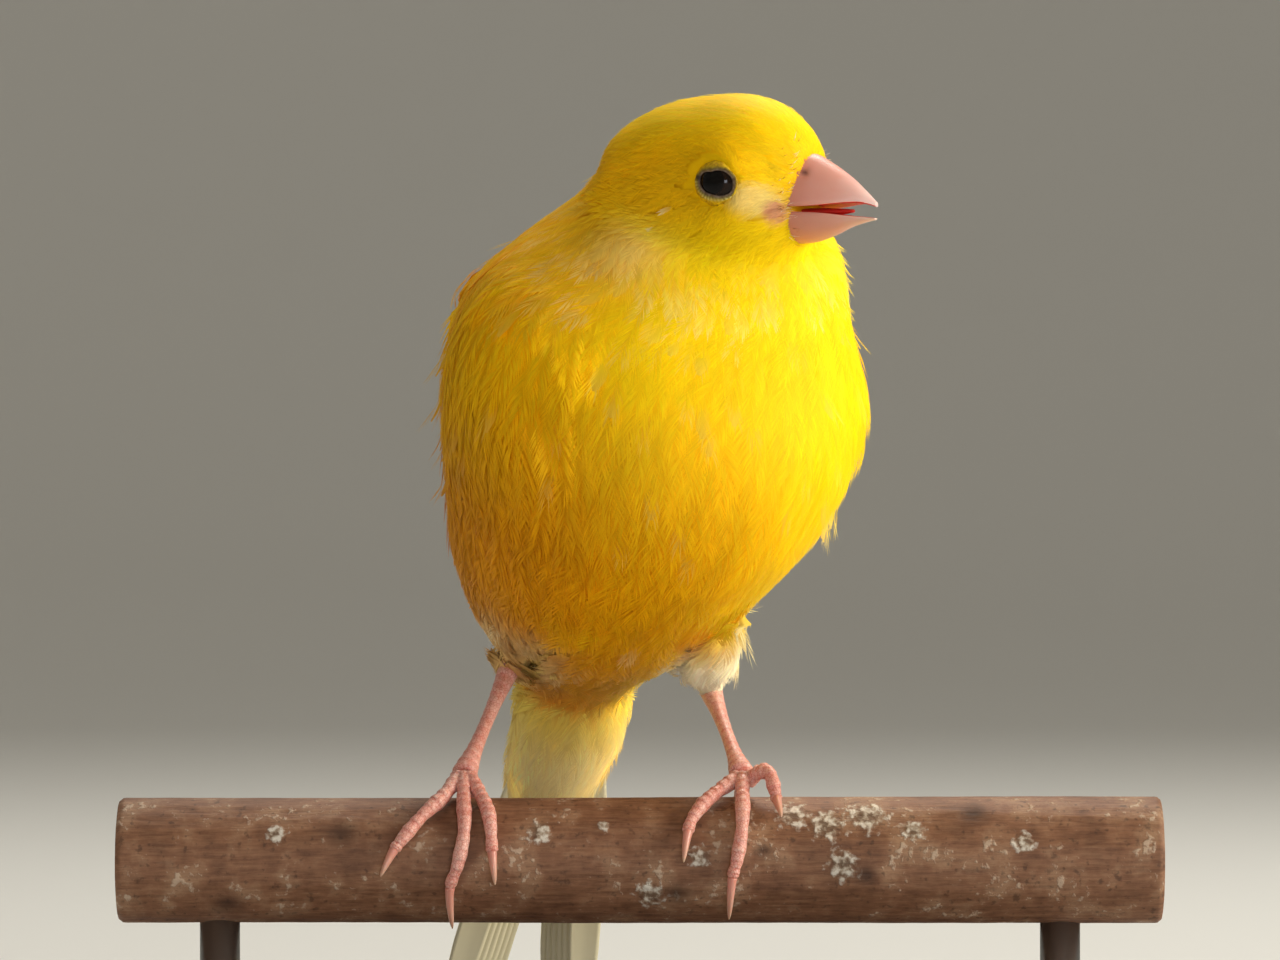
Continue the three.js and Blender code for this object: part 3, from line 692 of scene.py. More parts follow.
def plumage_colour(points, form, t, around):
    bird, head = world_to_bird(points), world_to_head(points)
    # Partly the bird's own gold and partly painted shade: more gold low on the body, less on its lit left
    # side, and more on the whole right side, away from the window.
    low = smooth_step(52, 24, bird[:, 2])
    low = low * (1 - 0.8 * smooth_step(-0.05, 0.75, np.sin(around)))
    gold_and_painted_shade = 0.8 * low + 0.45 * smooth_step(0.2, 1, -np.sin(around))
    is_head = form == HEAD_ID
    # On the head the gold grows towards the back, away from the window, and fades on the lit top of the crown:
    # partly the bird's own gold, partly painted shade.
    crown = (0.2 + 0.34 * smooth_step(9.5, 3, -head[:, 1])) * smooth_step(60, 66, head[:, 2])
    crown = crown * (1 - smooth_step(68.5, 74, head[:, 2]))
    gold_and_painted_shade = np.select([is_head, form == TAIL_ID], [crown, 0], gold_and_painted_shade)
    colour = blend(np.tile(LEMON, (len(points), 1)), GOLD, np.clip(gold_and_painted_shade, 0, 1))
    # The ear patch behind the cheek is paler
    place = points / MM
    ear = np.exp(-((place[:, 0] - EAR[0]) / 3.4) ** 2 - ((place[:, 2] - EAR[1]) / 2.6) ** 2)
    ear = ear * (place[:, 1] < -10)
    colour = blend(colour, PALE, 0.32 * ear)
    # Gold round the base of the bill, and pale lores only between the bill's corner and the eye
    colour = blend(colour, GOLD, 0.6 * smooth_step(4.6, 2.6, to_bill(points)) * is_head)
    lore = smooth_step(2.6, 0.9, np.linalg.norm((head - [0, -8.2, 65.3]) * [0, 0.9, 1.2], axis=1)) * is_head
    colour = blend(colour, LORE, 0.6 * lore)
    gape = smooth_step(1.5, 0.75, gape_distance(points)) * is_head
    colour = blend(colour, GAPE, 0.85 * gape)
    # Both thighs are pale. The bird's left thigh, on the window's side, is painted much whiter than the right
    # one, as painted light.
    colour = blend(colour, THIGH_WHITE_PAINTED_LIGHT, 0.95 * thigh_share(bird, "left"))
    colour = blend(colour, PALE, 0.5 * thigh_share(bird, "right"))
    under = smooth_step(0.2, -0.6, np.cos(around))
    vent = np.where(form == TORSO_ID, smooth_step(1.3, 0.2, t) * under * 0.1, 0)
    vent = np.where(form == TAIL_ID, 0.3 + 0.62 * smooth_step(2.8, 0.8, t), vent)
    return blend(colour, PALE, vent)


def paint(mesh, colours, name="plumage"):
    layer = mesh.color_attributes.new(name, "FLOAT_COLOR", "POINT")
    rows = np.ones((len(colours), 4), np.float32)
    rows[:, :3] = colours
    layer.data.foreach_set("color", rows.ravel())


# The skin under the coat takes the plumage colour 5% darker, as a little painted shade in the gaps between the
# feathers.
paint(skin.data, plumage_colour(skin_points, skin_form, skin_t, skin_around) * 0.95)


def plumage_material(name, roughness):
    """Feather keratin: soft, matt, and a little see-through, so light that enters comes out yellow."""
    material, tree, shader = new_material(name, Roughness=roughness, IOR=1.45, Specular_IOR_Level=0.12,
                                          Sheen_Weight=0.04, Sheen_Roughness=0.5,
                                          Sheen_Tint=rgba("#ffe98c"))
    colour = add_node(tree, "ShaderNodeAttribute", attribute_name="plumage").outputs["Color"]
    tree.links.new(colour, shader.inputs["Base Color"])
    return material, tree, shader


down_coat, _, _ = plumage_material("down_under_feathers", 0.9)
skin.data.materials.clear()
skin.data.materials.append(down_coat)
print("skin painted")

# %% [markdown]
# Where feathers root is drawn at random on the skin, with the spacing that each region needs, and two
# roots never come closer than that. A seeded generator gives the same bird each time.

# %% Feather roots
rng = np.random.default_rng(7)
skin_bvh = BVHTree.FromObject(skin, bpy.context.evaluated_depsgraph_get())


def wing_row(t, around):
    """The row on the folded wing, 0 low and 1 high, of a place on the torso."""
    low = curve_through(WING_LOW, t + 3)
    high = curve_through(WING_HIGH, t + 3)
    return (np.abs(around) - low) / (high - low)


def feather_spacing(points, form, t):
    face = smooth_step(3, 9, to_bill(points)) * smooth_step(3, 6, eye_distance(points))
    spacing = np.select([form == HEAD_ID, form == THIGH_ID, form == TAIL_ID],
                        [0.42 + 0.33 * face, 0.5, 1.2], 1.0)
    return np.where(form == TORSO_ID, 0.95 + 0.5 * smooth_step(11, 8, t), spacing)


skin.data.calc_loop_triangles()
corner = np.zeros(len(skin.data.loop_triangles) * 3, np.int32)
skin.data.loop_triangles.foreach_get("vertices", corner)
corner = corner.reshape(-1, 3)
a, b, c = (skin_points[corner[:, k]] for k in range(3))
area = np.linalg.norm(np.cross(b - a, c - a), axis=1) / 2 / MM**2
spacing = feather_spacing(skin_points, skin_form, skin_t)
wanted = area / spacing[corner].mean(1) ** 2
OVERSAMPLE = 4.5
drawn = rng.choice(len(corner), int(wanted.sum() * OVERSAMPLE), p=wanted / wanted.sum())
u, v = rng.random(len(drawn)), rng.random(len(drawn))
fold = u + v > 1
u, v = np.where(fold, 1 - u, u), np.where(fold, 1 - v, v)
weights = np.stack([1 - u - v, u, v], 1)[:, :, None]
root_place = (skin_points[corner[drawn]] * weights).sum(1)
root_normal = unit((skin_normals[corner[drawn]] * weights).sum(1))
root_space = (spacing[corner[drawn]][:, :, None] * weights).sum(1)[:, 0]
cells, kept = {}, []
CELL, CLOSEST = 1.6 * MM, 0.86
for n, (place, space) in enumerate(zip(root_place, root_space)):
    key = tuple((place // CELL).astype(int))
    near = [m for dx in (-1, 0, 1) for dy in (-1, 0, 1) for dz in (-1, 0, 1)
            for m in cells.get((key[0] + dx, key[1] + dy, key[2] + dz), ())]
    if all(np.sum((root_place[m] - place) ** 2) > (CLOSEST * space * MM) ** 2 for m in near):
        cells.setdefault(key, []).append(n)
        kept.append(n)
root_place, root_normal = root_place[kept], root_normal[kept]
root_lie, root_form, root_t, root_around = read_lie(root_place, root_normal)
row_there = wing_row(root_t, root_around)
covered = (root_form == TORSO_ID) & (root_t < 7.2) & (row_there > 0.12)
covered &= (row_there < 0.95) | (root_t < 4.5)
behind = smooth_step(0, 2, world_to_head(root_place)[:, 1] - EYE_PLACE["left"][1])
in_lids = (eye_distance(root_place) < 3.6) & (eye_angle(root_place) < 57 - 7 * behind)
bare = in_lids | (to_bill(root_place) < 2.2) | (gape_distance(root_place) < 0.75)
show = ~covered & ~bare
root_place, root_normal, root_lie, root_form, root_t, root_around = (
    rows[show] for rows in (root_place, root_normal, root_lie, root_form, root_t, root_around))
print(len(root_place), "feathers rooted")

# %% [markdown]
# A body feather is a curved shaft with barbs that leave it on both sides and sweep towards its rounded
# tip. From arm's length only the barbs of the outer half show, as fine silky strokes. Each shaft is laid
# over the skin in three steps. Where the skin turns away sharply, the feather bridges the hollow, as a
# stiff shaft does.

# %% Shafts and barbs
def barb_plan(pairs):
    """Where each barb starts and ends along the feather, and how far out it ends, for both sides."""
    step = (np.arange(pairs) + 0.5) / pairs
    end = 0.45 + 0.6 * step ** 0.8
    start = np.maximum(end - 0.42 + 0.04 * step, 0.02)
    out = np.sqrt(np.maximum(1 - ((end - 0.5) / 0.6) ** 2, 0.02))
    sides = np.repeat([1, -1], pairs)
    return np.tile(start, 2), np.tile(end, 2), np.tile(out, 2) * sides


def nearest_skin(points):
    found = [skin_bvh.find_nearest(point)[:2] for point in points]
    return np.array([f[0] for f in found]), np.array([f[1] for f in found])


FREE_DROP, BRIDGE = 0.25, 0.7
LINE_STEPS = 3


def feather_lines(place, normal, lie, length, width):
    """Each feather's shaft along the skin, the outward direction, and how the skin falls to its sides."""
    places, normals = [place], [normal]
    here, heading, out = place, lie, normal
    for _ in range(LINE_STEPS):
        straight = here + heading * (length / LINE_STEPS * MM)[:, None]
        snapped, up = nearest_skin(straight)
        # Past a sharp edge the feather stands off the skin, and so bridges the crease behind the edge
        off = np.sum((straight - snapped) * up, -1, keepdims=True)
        snapped = snapped + up * np.maximum(off - FREE_DROP * MM, 0) * BRIDGE
        up = unit(up + out)
        heading = unit(heading - up * np.sum(heading * up, -1, keepdims=True))
        here, out = snapped, up
        places.append(here)
        normals.append(out)
    left = unit(np.cross(normals[2], places[3] - places[1])) * (width * MM)[:, None]
    beside, tilt = [], []
    for over in (left, -left):
        spot, up = nearest_skin(places[2] + over)
        # Where the skin folds away beside the shaft, the web stays flat and covers the fold
        folds = np.linalg.norm(spot - places[2] - over, axis=-1) > 0.5 * width * MM
        flat = (folds | (np.sum(up * normals[2], -1) < 0.5))[:, None]
        beside.append(np.where(flat, over, spot - places[2]))
        tilt.append(np.where(flat, normals[2], up))
    return np.stack(places), np.stack(normals), np.stack(beside), np.stack(tilt)


def is_steady(lines, length):
    """Whether each feather lies smoothly, without folding round an edge of the skin."""
    places, normals = lines[:2]
    bend = np.min([np.sum(normals[0] * n, -1) for n in normals[1:]], 0)
    return (bend > 0.45) & (np.linalg.norm(places[-1] - places[0], axis=-1) / MM > 0.7 * length)


print("a shaft has", LINE_STEPS, "steps")

# %% [markdown]
# Each feather here is a thin leaf-shaped blade under a fan of closed barbs, three-sided and tapered to a
# point. Blender's own hair is drawn as curves and wouldn't be a mesh that can be exported. The feathers of
# a region are worked out together in arrays, since there are far too many for one operator each. Their
# normals follow the rounding of the coat, so that light falls on them softly, as on real down.

# %% Many feathers as one mesh
# A barb is a thin spindle: its root, three corners round its middle, two low and one high, and its tip.
# The blade under the barbs has a left edge, a ridge, a right edge and an underside, in four places.
BARB_FACES = np.array([[0, 2, 1], [0, 3, 2], [0, 1, 3], [1, 2, 4], [2, 3, 4], [3, 1, 4]])
BLADE_ALONG = np.array([0.05, 0.35, 0.6, 0.8])
BLADE_OUT = np.array([0.3, 0.8, 0.7, 0.2])
BLADE_SINK = np.array([0, -0.1, -0.25, -0.45])
BLADE_FACES = np.array([[0, 2, 1], [0, 3, 2], [12, 13, 14], [12, 14, 15]] + [
    [corner + first, corner + second, corner + third] for corner in (0, 4, 8) for side in range(4)
    for first, second, third in ((side, (side + 1) % 4, (side + 1) % 4 + 4),
                                 (side, (side + 1) % 4 + 4, side + 4))])
PATCH = 0.003
SHORTER, NARROWER = 0.45, 0.7
# How much of its own facets each feather shows over the soft rounding of the coat
OWN_NORMAL = 0.12


def along_line(rows, along):
    """Reads rows kept at equal steps along each feather, at parts along it."""
    at = np.clip(along, 0, 1.08) * (len(rows) - 1)
    index = np.minimum(at.astype(int), len(rows) - 2)
    part = (at - index)[..., None]
    feather = np.arange(rows.shape[1])[None, :, None]
    return rows[index, feather] * (1 - part) + rows[index + 1, feather] * part, index, feather


def feather_mesh(name, place, normal, lie, length, width, depth, barb, pairs, unwrap, tone, frost,
                 loose=0.0):
    """All the feathers of one region as one mesh. Sizes are in mm, one for each feather."""
    lines = feather_lines(place, normal, lie, length, width)
    # A feather that would fold round an edge is drawn again at under half its length, or else left out
    folded = np.nonzero(~is_steady(lines, length))[0]
    length, width = length.copy(), width.copy()
    length[folded] *= SHORTER
    width[folded] *= NARROWER
    if len(folded):
        shorter = feather_lines(place[folded], normal[folded], lie[folded], length[folded], width[folded])
        for whole, part in zip(lines, shorter):
            whole[:, folded] = part
    steady = is_steady(lines, length)
    places, normals, beside, tilt = (rows[:, steady] for rows in lines)
    loose = np.broadcast_to(loose, len(length))
    depth, barb, unwrap, tone, frost, loose = (
        rows[steady] for rows in (depth, barb, unwrap, tone, frost, loose))
    count = len(depth)
    seen = np.stack([plumage_colour(p, *read_lie(p, n)[1:]) for p, n in zip(places, normals)])
    tipward = (np.arange(len(places)) / (len(places) - 1))[:, None] ** 1.5
    seen = seen + (FROST - seen) * (frost * tipward)[..., None]
    seen = seen * tone[None, :, None]
    level = np.clip(1 + 0.05 * rng.normal(0, 1, (1, count, 1)), 0.8, 1.15)
    lift_off = (loose * np.abs(rng.normal(0, 1, count)))[None, :, None]

    def on_feather(along, aside, lift):
        """Places at parts along and aside of every feather, with the outward direction and colour there."""
        shaft, _, feather = along_line(places, along)
        up = unit(along_line(normals, along)[0])
        side, part = (aside < 0).astype(int), np.abs(aside)[..., None]
        over = beside[side, feather]
        fall = -np.sum(over * up, -1, keepdims=True)
        rise = depth[None, :, None] * (0.55 + 0.45 * np.clip(along, 0, 1) + lift_off * along ** 2) * level
        rise = rise + lift - 0.1 * aside ** 2
        spot = shaft + up * ((rise * MM)[..., None] + fall * (part - part ** 2)) + over * part
        up = unit(up + (tilt[side, feather] - up) * np.minimum(part, 1))
        return spot, up, along_line(seen, along)[0]

    start, end, out = barb_plan(pairs)
    barbs = len(start)
    jitter = rng.normal(0, 1, (4, count, barbs))
    along = np.stack([start, start + 0.5 * (end - start), end])[:, None, :] + 0.03 * jitter[0]
    aside = np.stack([0 * out, 0.6 * out, out])[:, None, :] * (1 + 0.12 * jitter[1]) + 0.05 * jitter[2]
    line, up, shade = on_feather(along, aside, 0.04 + 0.025 * jitter[3])
    cross = unit(np.cross(up[1], unit(line[2] - line[0])))
    reach = (barb[:, None] * (1 + 0.18 * jitter[2]) * MM / 2)[..., None]
    points = np.stack([line[0], line[1] - cross * reach, line[1] + cross * reach,
                       line[1] + up[1] * reach * 0.3, line[2]], 2)
    outward = np.stack([up[0], up[1], up[1], up[1], up[2]], 2)

    blade_aside = BLADE_OUT[:, None] * np.array([1, 0, -1, 0])
    blade_lift = np.array([-0.03, 0.05, -0.03, -0.06]) + BLADE_SINK[:, None] * depth.mean()
    blade, blade_up, blade_shade = on_feather(
        np.broadcast_to(BLADE_ALONG[:, None, None], (4, count, 4)),
        np.broadcast_to(blade_aside[:, None, :], (4, count, 4)), blade_lift[:, None, :])
    blade, blade_up, blade_shade = (
        rows.transpose(1, 0, 2, 3).reshape(-1, 3) for rows in (blade, blade_up, blade_shade))

    every = np.concatenate([points.reshape(-1, 3), blade])
    faces = np.concatenate([
        (BARB_FACES + 5 * np.arange(count * barbs)[:, None, None]).reshape(-1, 3),
        (BLADE_FACES + points.size // 3 + 16 * np.arange(count)[:, None, None]).reshape(-1, 3)])
    mesh = mesh_from_arrays(name, every, faces)
    mesh.polygons.foreach_set("use_smooth", np.ones(len(faces), bool))
    soft = np.concatenate([outward.reshape(-1, 3), blade_up])
    soft = unit(OWN_NORMAL * coordinates(mesh, "normal") + soft)[faces]
    flat = np.cross(every[faces[:, 1]] - every[faces[:, 0]], every[faces[:, 2]] - every[faces[:, 0]])
    # A feather that stands off the body is also seen from below, where its normals point the other way
    below = np.sum(soft.sum(1) * flat, -1) < 0
    soft[below] *= -1
    mesh.normals_split_custom_set(soft.reshape(-1, 3))

    grain = 1 + 0.03 * rng.normal(0, 1, (count, 1)) + 0.045 * jitter[3]
    # Barb roots are painted 12% darker and the blades under the barbs 7% darker, as painted shade between the
    # overlapping feathers, since the coat casts no shadows. Barb tips are 3% lighter.
    barb_rows = np.stack([shade[0] * 0.88, shade[1], shade[1], shade[1], shade[2] * 1.03], 2)
    barb_rows = (barb_rows * grain[:, :, None, None]).reshape(-1, 3)
    paint(mesh, np.clip(np.concatenate([barb_rows, blade_shade * 0.93]), 0, 1))
    layer = mesh.uv_layers.new(name="OFBake")
    spread = np.broadcast_to(np.arange(barbs)[None, :, None] / barbs, (count, barbs, 5))
    rise = np.broadcast_to(np.array([0, 0.5, 0.5, 0.5, 1]), (count, barbs, 5))
    patch = (unwrap[:, None, None, :] + np.stack([spread, rise], -1) * PATCH).reshape(-1, 2)
    leaf = np.stack(np.broadcast_arrays(np.array([1, 0.5, 0, 0.5]), BLADE_ALONG[:, None]), -1).reshape(-1, 2)
    leaf = (unwrap[:, None, :] + leaf * PATCH).reshape(-1, 2)
    layer.data.foreach_set("uv", np.concatenate([patch, leaf])[faces.reshape(-1)].astype(np.float32).ravel())
    return mesh


def unwrap_place(form, t, around):
    """Where each root lies on an unwrap of the skin: one strip each for body, head, tail root and thighs."""
    turn = (around + math.pi) / (2 * math.pi)
    low = np.select([form == HEAD_ID, form == TAIL_ID, form == THIGH_ID], [0.66, 0.92, 0.955], 0.01)
    tall = np.select([form == HEAD_ID, form == TAIL_ID, form == THIGH_ID], [0.24, 0.025, 0.035], 0.63)
    long = np.select([form == HEAD_ID, form == TAIL_ID, form == THIGH_ID], [7, 3, 1], 11)
    return np.stack([0.01 + 0.975 * turn, low + tall * np.clip(t / long, 0, 1)], -1)


feather_coat, _, _ = plumage_material("feather_barbs", 0.62)
print("a barb has", len(BARB_FACES), "triangles and a blade", len(BLADE_FACES))

# %% [markdown]
# The regions differ as on the bird: tiny hair-like feathers on the face, short ones on the crown and
# cheeks, and long loose ones on the breast and belly. Each region is cut into pieces of fewer than
# 200,000 triangles. Every feather turns a little from its neighbours, in slow waves over the surface, so
# that the coat parts and gathers into soft tufts.

# %% Coat
def wave(points, size, seed):
    """A smooth value from -1 to 1 over the bird, with waves about size mm long."""
    mixing = np.random.default_rng(seed)
    total = 0
    for _ in range(5):
        direction = unit(mixing.normal(0, 1, 3))
        total = total + np.sin(points @ direction * (2 * math.pi / (size * MM)) + mixing.uniform(0, 6.28))
        size = size * 0.8
    return total / 2.6


face = smooth_step(3, 9, to_bill(root_place)) * smooth_step(3, 6.5, eye_distance(root_place))
trunk = root_form == TORSO_ID
head = root_form == HEAD_ID
length = np.select([head, root_form == THIGH_ID, root_form == TAIL_ID], [1.6 + 2.4 * face, 3.6, 8.0], 3)
length = np.where(trunk, 4.4 + 3.4 * smooth_step(10.8, 7.5, root_t), length)
# The cape: longer, looser feathers of the shoulder reach over the roots of the wing coverts
row_there = wing_row(root_t, root_around)
cape = trunk & (row_there > -0.1) & (row_there < 1.1) & (root_t < 9.4)
length = length + 1.6 * cape
width = length * np.select([head, root_form == TAIL_ID], [0.2, 0.17], 0.25)
barb = np.where(head, 0.1 + 0.04 * face, 0.15)
depth = coat_depth(root_place, root_form, root_t) + 0.5 * cape
turn = 0.3 * wave(root_place, 17, 3) + 0.1 * rng.normal(0, 1, len(root_place))
turn = turn * np.select([head, root_form == TAIL_ID], [0.4, 0.35], 1)
# Round the eye the small feathers part and run past the lids
for place in EYE_PLACE.values():
    from_eye = root_place - head_to_world(np.array(place))
    push = from_eye - root_normal * np.sum(from_eye * root_normal, -1, keepdims=True)
    near = smooth_step(4.6, 3.0, np.linalg.norm(from_eye, axis=1) / MM)[:, None]
    root_lie = unit(root_lie + 1.1 * near * unit(push))
aside = np.cross(root_normal, root_lie)
root_lie = unit(root_lie * np.cos(turn)[:, None] + aside * np.sin(turn)[:, None])
unwrap = unwrap_place(root_form, root_t, root_around)
tone = 1 + 0.04 * wave(root_place, 9, 5) + 0.03 * rng.normal(0, 1, len(root_place))
# Pale frosted tips show on the sides of the neck, behind the cheeks, and a few elsewhere
collar = smooth_step(10.9, 10.2, root_t) * smooth_step(8.8, 9.6, root_t) * trunk
frost = np.clip(rng.random(len(root_place)) * 1.2 - 0.75 + 0.25 * wave(root_place, 6, 11), 0, 0.25) * collar
regions = {
    "face": (head & (face < 0.75), 7),
    "head": (head & (face >= 0.75), 12),
    "neck": (trunk & (root_t > 9), 17),
    "breast": (trunk & (root_t <= 9) & (np.cos(root_around) < 0.2), 23),
    "back": (trunk & (root_t <= 9) & (np.cos(root_around) >= 0.2), 15),
    "rump": ((root_form == TAIL_ID), 16),
    "thighs": ((root_form == THIGH_ID), 10),
}
TRIANGLE_LIMIT = 190000
total = 0
for region, (chosen, pairs) in regions.items():
    members = np.nonzero(chosen)[0]
    each = 2 * pairs * len(BARB_FACES) + len(BLADE_FACES)
    pieces = max(1, math.ceil(len(members) * each / TRIANGLE_LIMIT))
    order = members[np.argsort(root_place[members, 2])]
    for k, share in enumerate(np.array_split(order, pieces)):
        mesh = feather_mesh(f"coat_{region}_{k + 1}", root_place[share], root_normal[share], root_lie[share],
                            length[share], width[share], depth[share], barb[share], pairs, unwrap[share],
                            tone[share], frost[share])
        piece = dress(link_piece(mesh.name, mesh, feather_coat), "plumage")
        piece.visible_shadow = False
        total += len(mesh.polygons)
    print(region, len(members), "feathers in", pieces, "pieces")
print("the coat has", total, "triangles")

# %% [markdown]
# Some feathers don't lie flat. Whitish tufts show where the flank and belly meet the legs, the throat is
# puffed, and loose tips stand off the shoulders and soften the outline. Each tuft is named by the place on
# the skin that the camera's eye meets, given as mm along the perch and mm above the table.

# %% Tufts
# The place, how many feathers, how far they spread and how long they are in mm, how pale, and how loose
TUFTS = {
    "flank": (10.2, 56.5, 16, 1.0, 4.6, 0.9, 0.7), "leg": (-12.4, 56.0, 16, 1.5, 5.2, 0.8, 0.5),
    "cheek_high": (3.8, 97.5, 1, 0.8, 1.6, 0.8, 0.3), "cheek_low": (1.8, 95.0, 1, 0.8, 1.6, 0.8, 0.3),
    "crease_right": (-11.6, 54.0, 24, 2.6, 4.4, 0.3, 0.1), "crease_left": (8.1, 53.7, 34, 2.8, 4.4, 0.4, 0),
    "belly": (-0.6, 54.8, 6, 1.0, 4.8, 0.3, 0.3), "wing_tip": (18.2, 67.5, 8, 1.0, 4.2, 0.5, 0.6),
    "throat": (18.2, 92.6, 36, 2.4, 2.8, 0.1, 0.5), "neck_side": (19.0, 88.5, 8, 1.6, 2.8, 0.05, 0.5),
}


def seen_from_camera(x, z):
    """Where the camera's line through a point over the perch meets the skin, or the outline nearest to it."""
    eye, point = Vector(CAMERA_PLACE), Vector((x * MM, PERCH_PLACE[1] * MM, z * MM))
    place = skin_bvh.ray_cast(eye, (point - eye).normalized())[0]
    return np.array(place or skin_bvh.find_nearest(point)[0])


roots, tuft_length, tuft_frost, tuft_loose = [], [], [], []
for name, (x, z, count, spread, long, pale, stand) in TUFTS.items():
    middle = seen_from_camera(x, z)
    for offset in rng.normal(0, spread * MM / 2, (count, 3)):
        place, normal, _, _ = skin_bvh.find_nearest(Vector(middle + offset))
        roots.append((np.array(place), np.array(normal)))
        tuft_length.append(long * (0.85 + 0.3 * rng.random()))
        tuft_frost.append(pale)
        tuft_loose.append(stand)
strays = np.nonzero(trunk & (root_t > 5.5) & (rng.random(len(root_place)) > 0.93))[0]
place = np.concatenate([np.array([r[0] for r in roots]), root_place[strays]])
normal = unit(np.concatenate([np.array([r[1] for r in roots]), root_normal[strays]]))
lie, form, t, around = read_lie(place, normal)
count = len(place)
tuft = np.arange(count) < len(roots)
long = np.where(tuft, np.resize(tuft_length, count), 5.2)
mesh = feather_mesh("coat_tufts_1", place, normal, lie, long, 0.18 * long, coat_depth(place, form, t) + 0.1,
                    np.full(count, 0.1), 8, unwrap_place(form, t, around), np.full(count, 1.02),
                    np.where(tuft, np.resize(tuft_frost, count), 0.1),
                    np.where(tuft, np.resize(tuft_loose, count), 0.8))
tufts = dress(link_piece(mesh.name, mesh, feather_coat), "plumage")
tufts.visible_shadow = False
print(len(roots), "tuft feathers and", len(strays), "loose ones,", len(mesh.polygons), "triangles")

# %% [markdown]
# Flight and tail feathers are firm vanes: a shaft, a broad inner web and a narrow outer web. Each is a
# grid bent onto the folded wing or the plane of the tail, with a raised shaft, and Solidify gives it the
# thickness of a real web. Its own UV map runs from the left edge to the right and from root to tip in
# millimetres, so that the material can draw the barbs at their real slant.

# %% Vane helper
VANE_THICKNESS = 0.16
# How far the UV map reaches to each side of the shaft and along it, in mm
WEB_SPAN, VANE_SPAN = 10, 60
# Barbs leave the shaft at about 40 degrees, 0.28 mm apart, which is coarser than real, so that they show
BARB_SLANT, BARB_SPACING = 1.2, 0.28
VANE_SHAPE = [0.45, 0.75, 0.92, 1, 1, 0.97, 0.9, 0.72, 0.3]


def add_vane(bm, place, length, half, notch=0.0, along_cells=18, across_cells=8, ridge=0.14, camber=0.12):
    """Adds one vane. place(u, across, height) gives world places for arrays, across and height in mm."""
    made = bmesh.ops.create_grid(bm, x_segments=across_cells, y_segments=along_cells, size=0.5)["verts"]
    co = np.array([v.co for v in made])
    side, u = co[:, 0] * 2, co[:, 1] + 0.5
    reach = half * curve_through(VANE_SHAPE, u * (len(VANE_SHAPE) - 1))
    ragged = 1 - notch * np.abs(np.sin(u * length * 1.9 + side * 2)) * (np.abs(side) > 0.9)
    height = ridge * np.exp(-(side / 0.12) ** 2) * (1 - u) - camber * half * side ** 2
    places = place(u, side * reach * ragged, height)
    uv = bm.loops.layers.uv.verify()
    for vertex, spot, s, v in zip(made, places, side, u):
        vertex.co = spot
        for loop in vertex.link_loops:
            loop[uv].uv = (0.5 + 0.5 * s * reach.max() / WEB_SPAN, v * length / VANE_SPAN)


def finish_vanes(name, bm, material, slot, *nodes):
    piece = new_piece(name, bm, material)
    wall = piece.modifiers.new("web", "SOLIDIFY")
    wall.thickness = VANE_THICKNESS * MM
    wall.offset = 0
    settle(piece)
    dress(piece, slot, *nodes)
    print(name, len(piece.data.polygons), "faces")


def vane_material(name, middle, edge, edge_from):
    """White flight feather with the canary's yellow in the outer webs, and fine slanting barbs."""
    material, tree, shader = new_material(name, Roughness=0.5, IOR=1.5, Specular_IOR_Level=0.3)
    uv = add_node(tree, "ShaderNodeUVMap", uv_map="UVMap").outputs["UV"]
    parts = add_node(tree, "ShaderNodeSeparateXYZ", {"Vector": uv})
    off_shaft = add_node(tree, "ShaderNodeMath", {0: parts.outputs["X"], 1: 0.5}, operation="SUBTRACT")
    off_shaft = add_node(tree, "ShaderNodeMath", {0: off_shaft.outputs[0]}, operation="ABSOLUTE").outputs[0]
    barbs = off_shaft
    for value, operation in ((-2 * WEB_SPAN * BARB_SLANT / VANE_SPAN, "MULTIPLY"),
                             (parts.outputs["Y"], "ADD"),
                             (2 * math.pi * VANE_SPAN / BARB_SPACING, "MULTIPLY"), (0, "SINE")):
        barbs = add_node(tree, "ShaderNodeMath", {0: barbs, 1: value}, operation=operation).outputs[0]
    edge_share = add_node(tree, "ShaderNodeMapRange", {"Value": off_shaft, "From Min": edge_from[0],
                                                       "From Max": edge_from[1]}).outputs["Result"]
    web = mix_colour(tree, edge_share, rgba(middle), rgba(edge))
    shaft = add_node(tree, "ShaderNodeMapRange", {"Value": off_shaft, "From Min": 0.004, "From Max": 0.011,
                                                  "To Min": 1, "To Max": 0}).outputs["Result"]
    web = mix_colour(tree, shaft, web, rgba("#d3c79c"))
    shade = add_node(tree, "ShaderNodeMapRange", {"Value": barbs, "From Min": -1, "To Min": 0.86}).outputs[0]
    grey = add_node(tree, "ShaderNodeCombineColor", {"Red": shade, "Green": shade, "Blue": shade}).outputs[0]
    web = mix_colour(tree, 1.0, web, grey, "MULTIPLY")
    tree.links.new(web, shader.inputs["Base Color"])
    bump = add_node(tree, "ShaderNodeBump", {"Height": barbs, "Strength": 0.25, "Distance": 0.00006})
    tree.links.new(bump.outputs[0], shader.inputs["Normal"])
    return material


print("vanes are", VANE_THICKNESS, "mm thick")

# %% [markdown]
# The folded wing is laid in tiers, as on the bird: primaries lowest and longest, then secondaries and
# tertials nearer the back, and two rows of coverts over their roots. The body coat covers the arm.

# %% Wings
# Half the gap between the wings over the back, and the usual distance between two stations, in mm
MIDLINE_KEEP, STATION_MM = 0.45, 5.6
wing_vanes = vane_material("flight_feather", "#f2e7a8", "#ecca22", (0.055, 0.085))
covert_vanes = vane_material("wing_covert", "#efc91e", "#f8e88c", (0.045, 0.068))


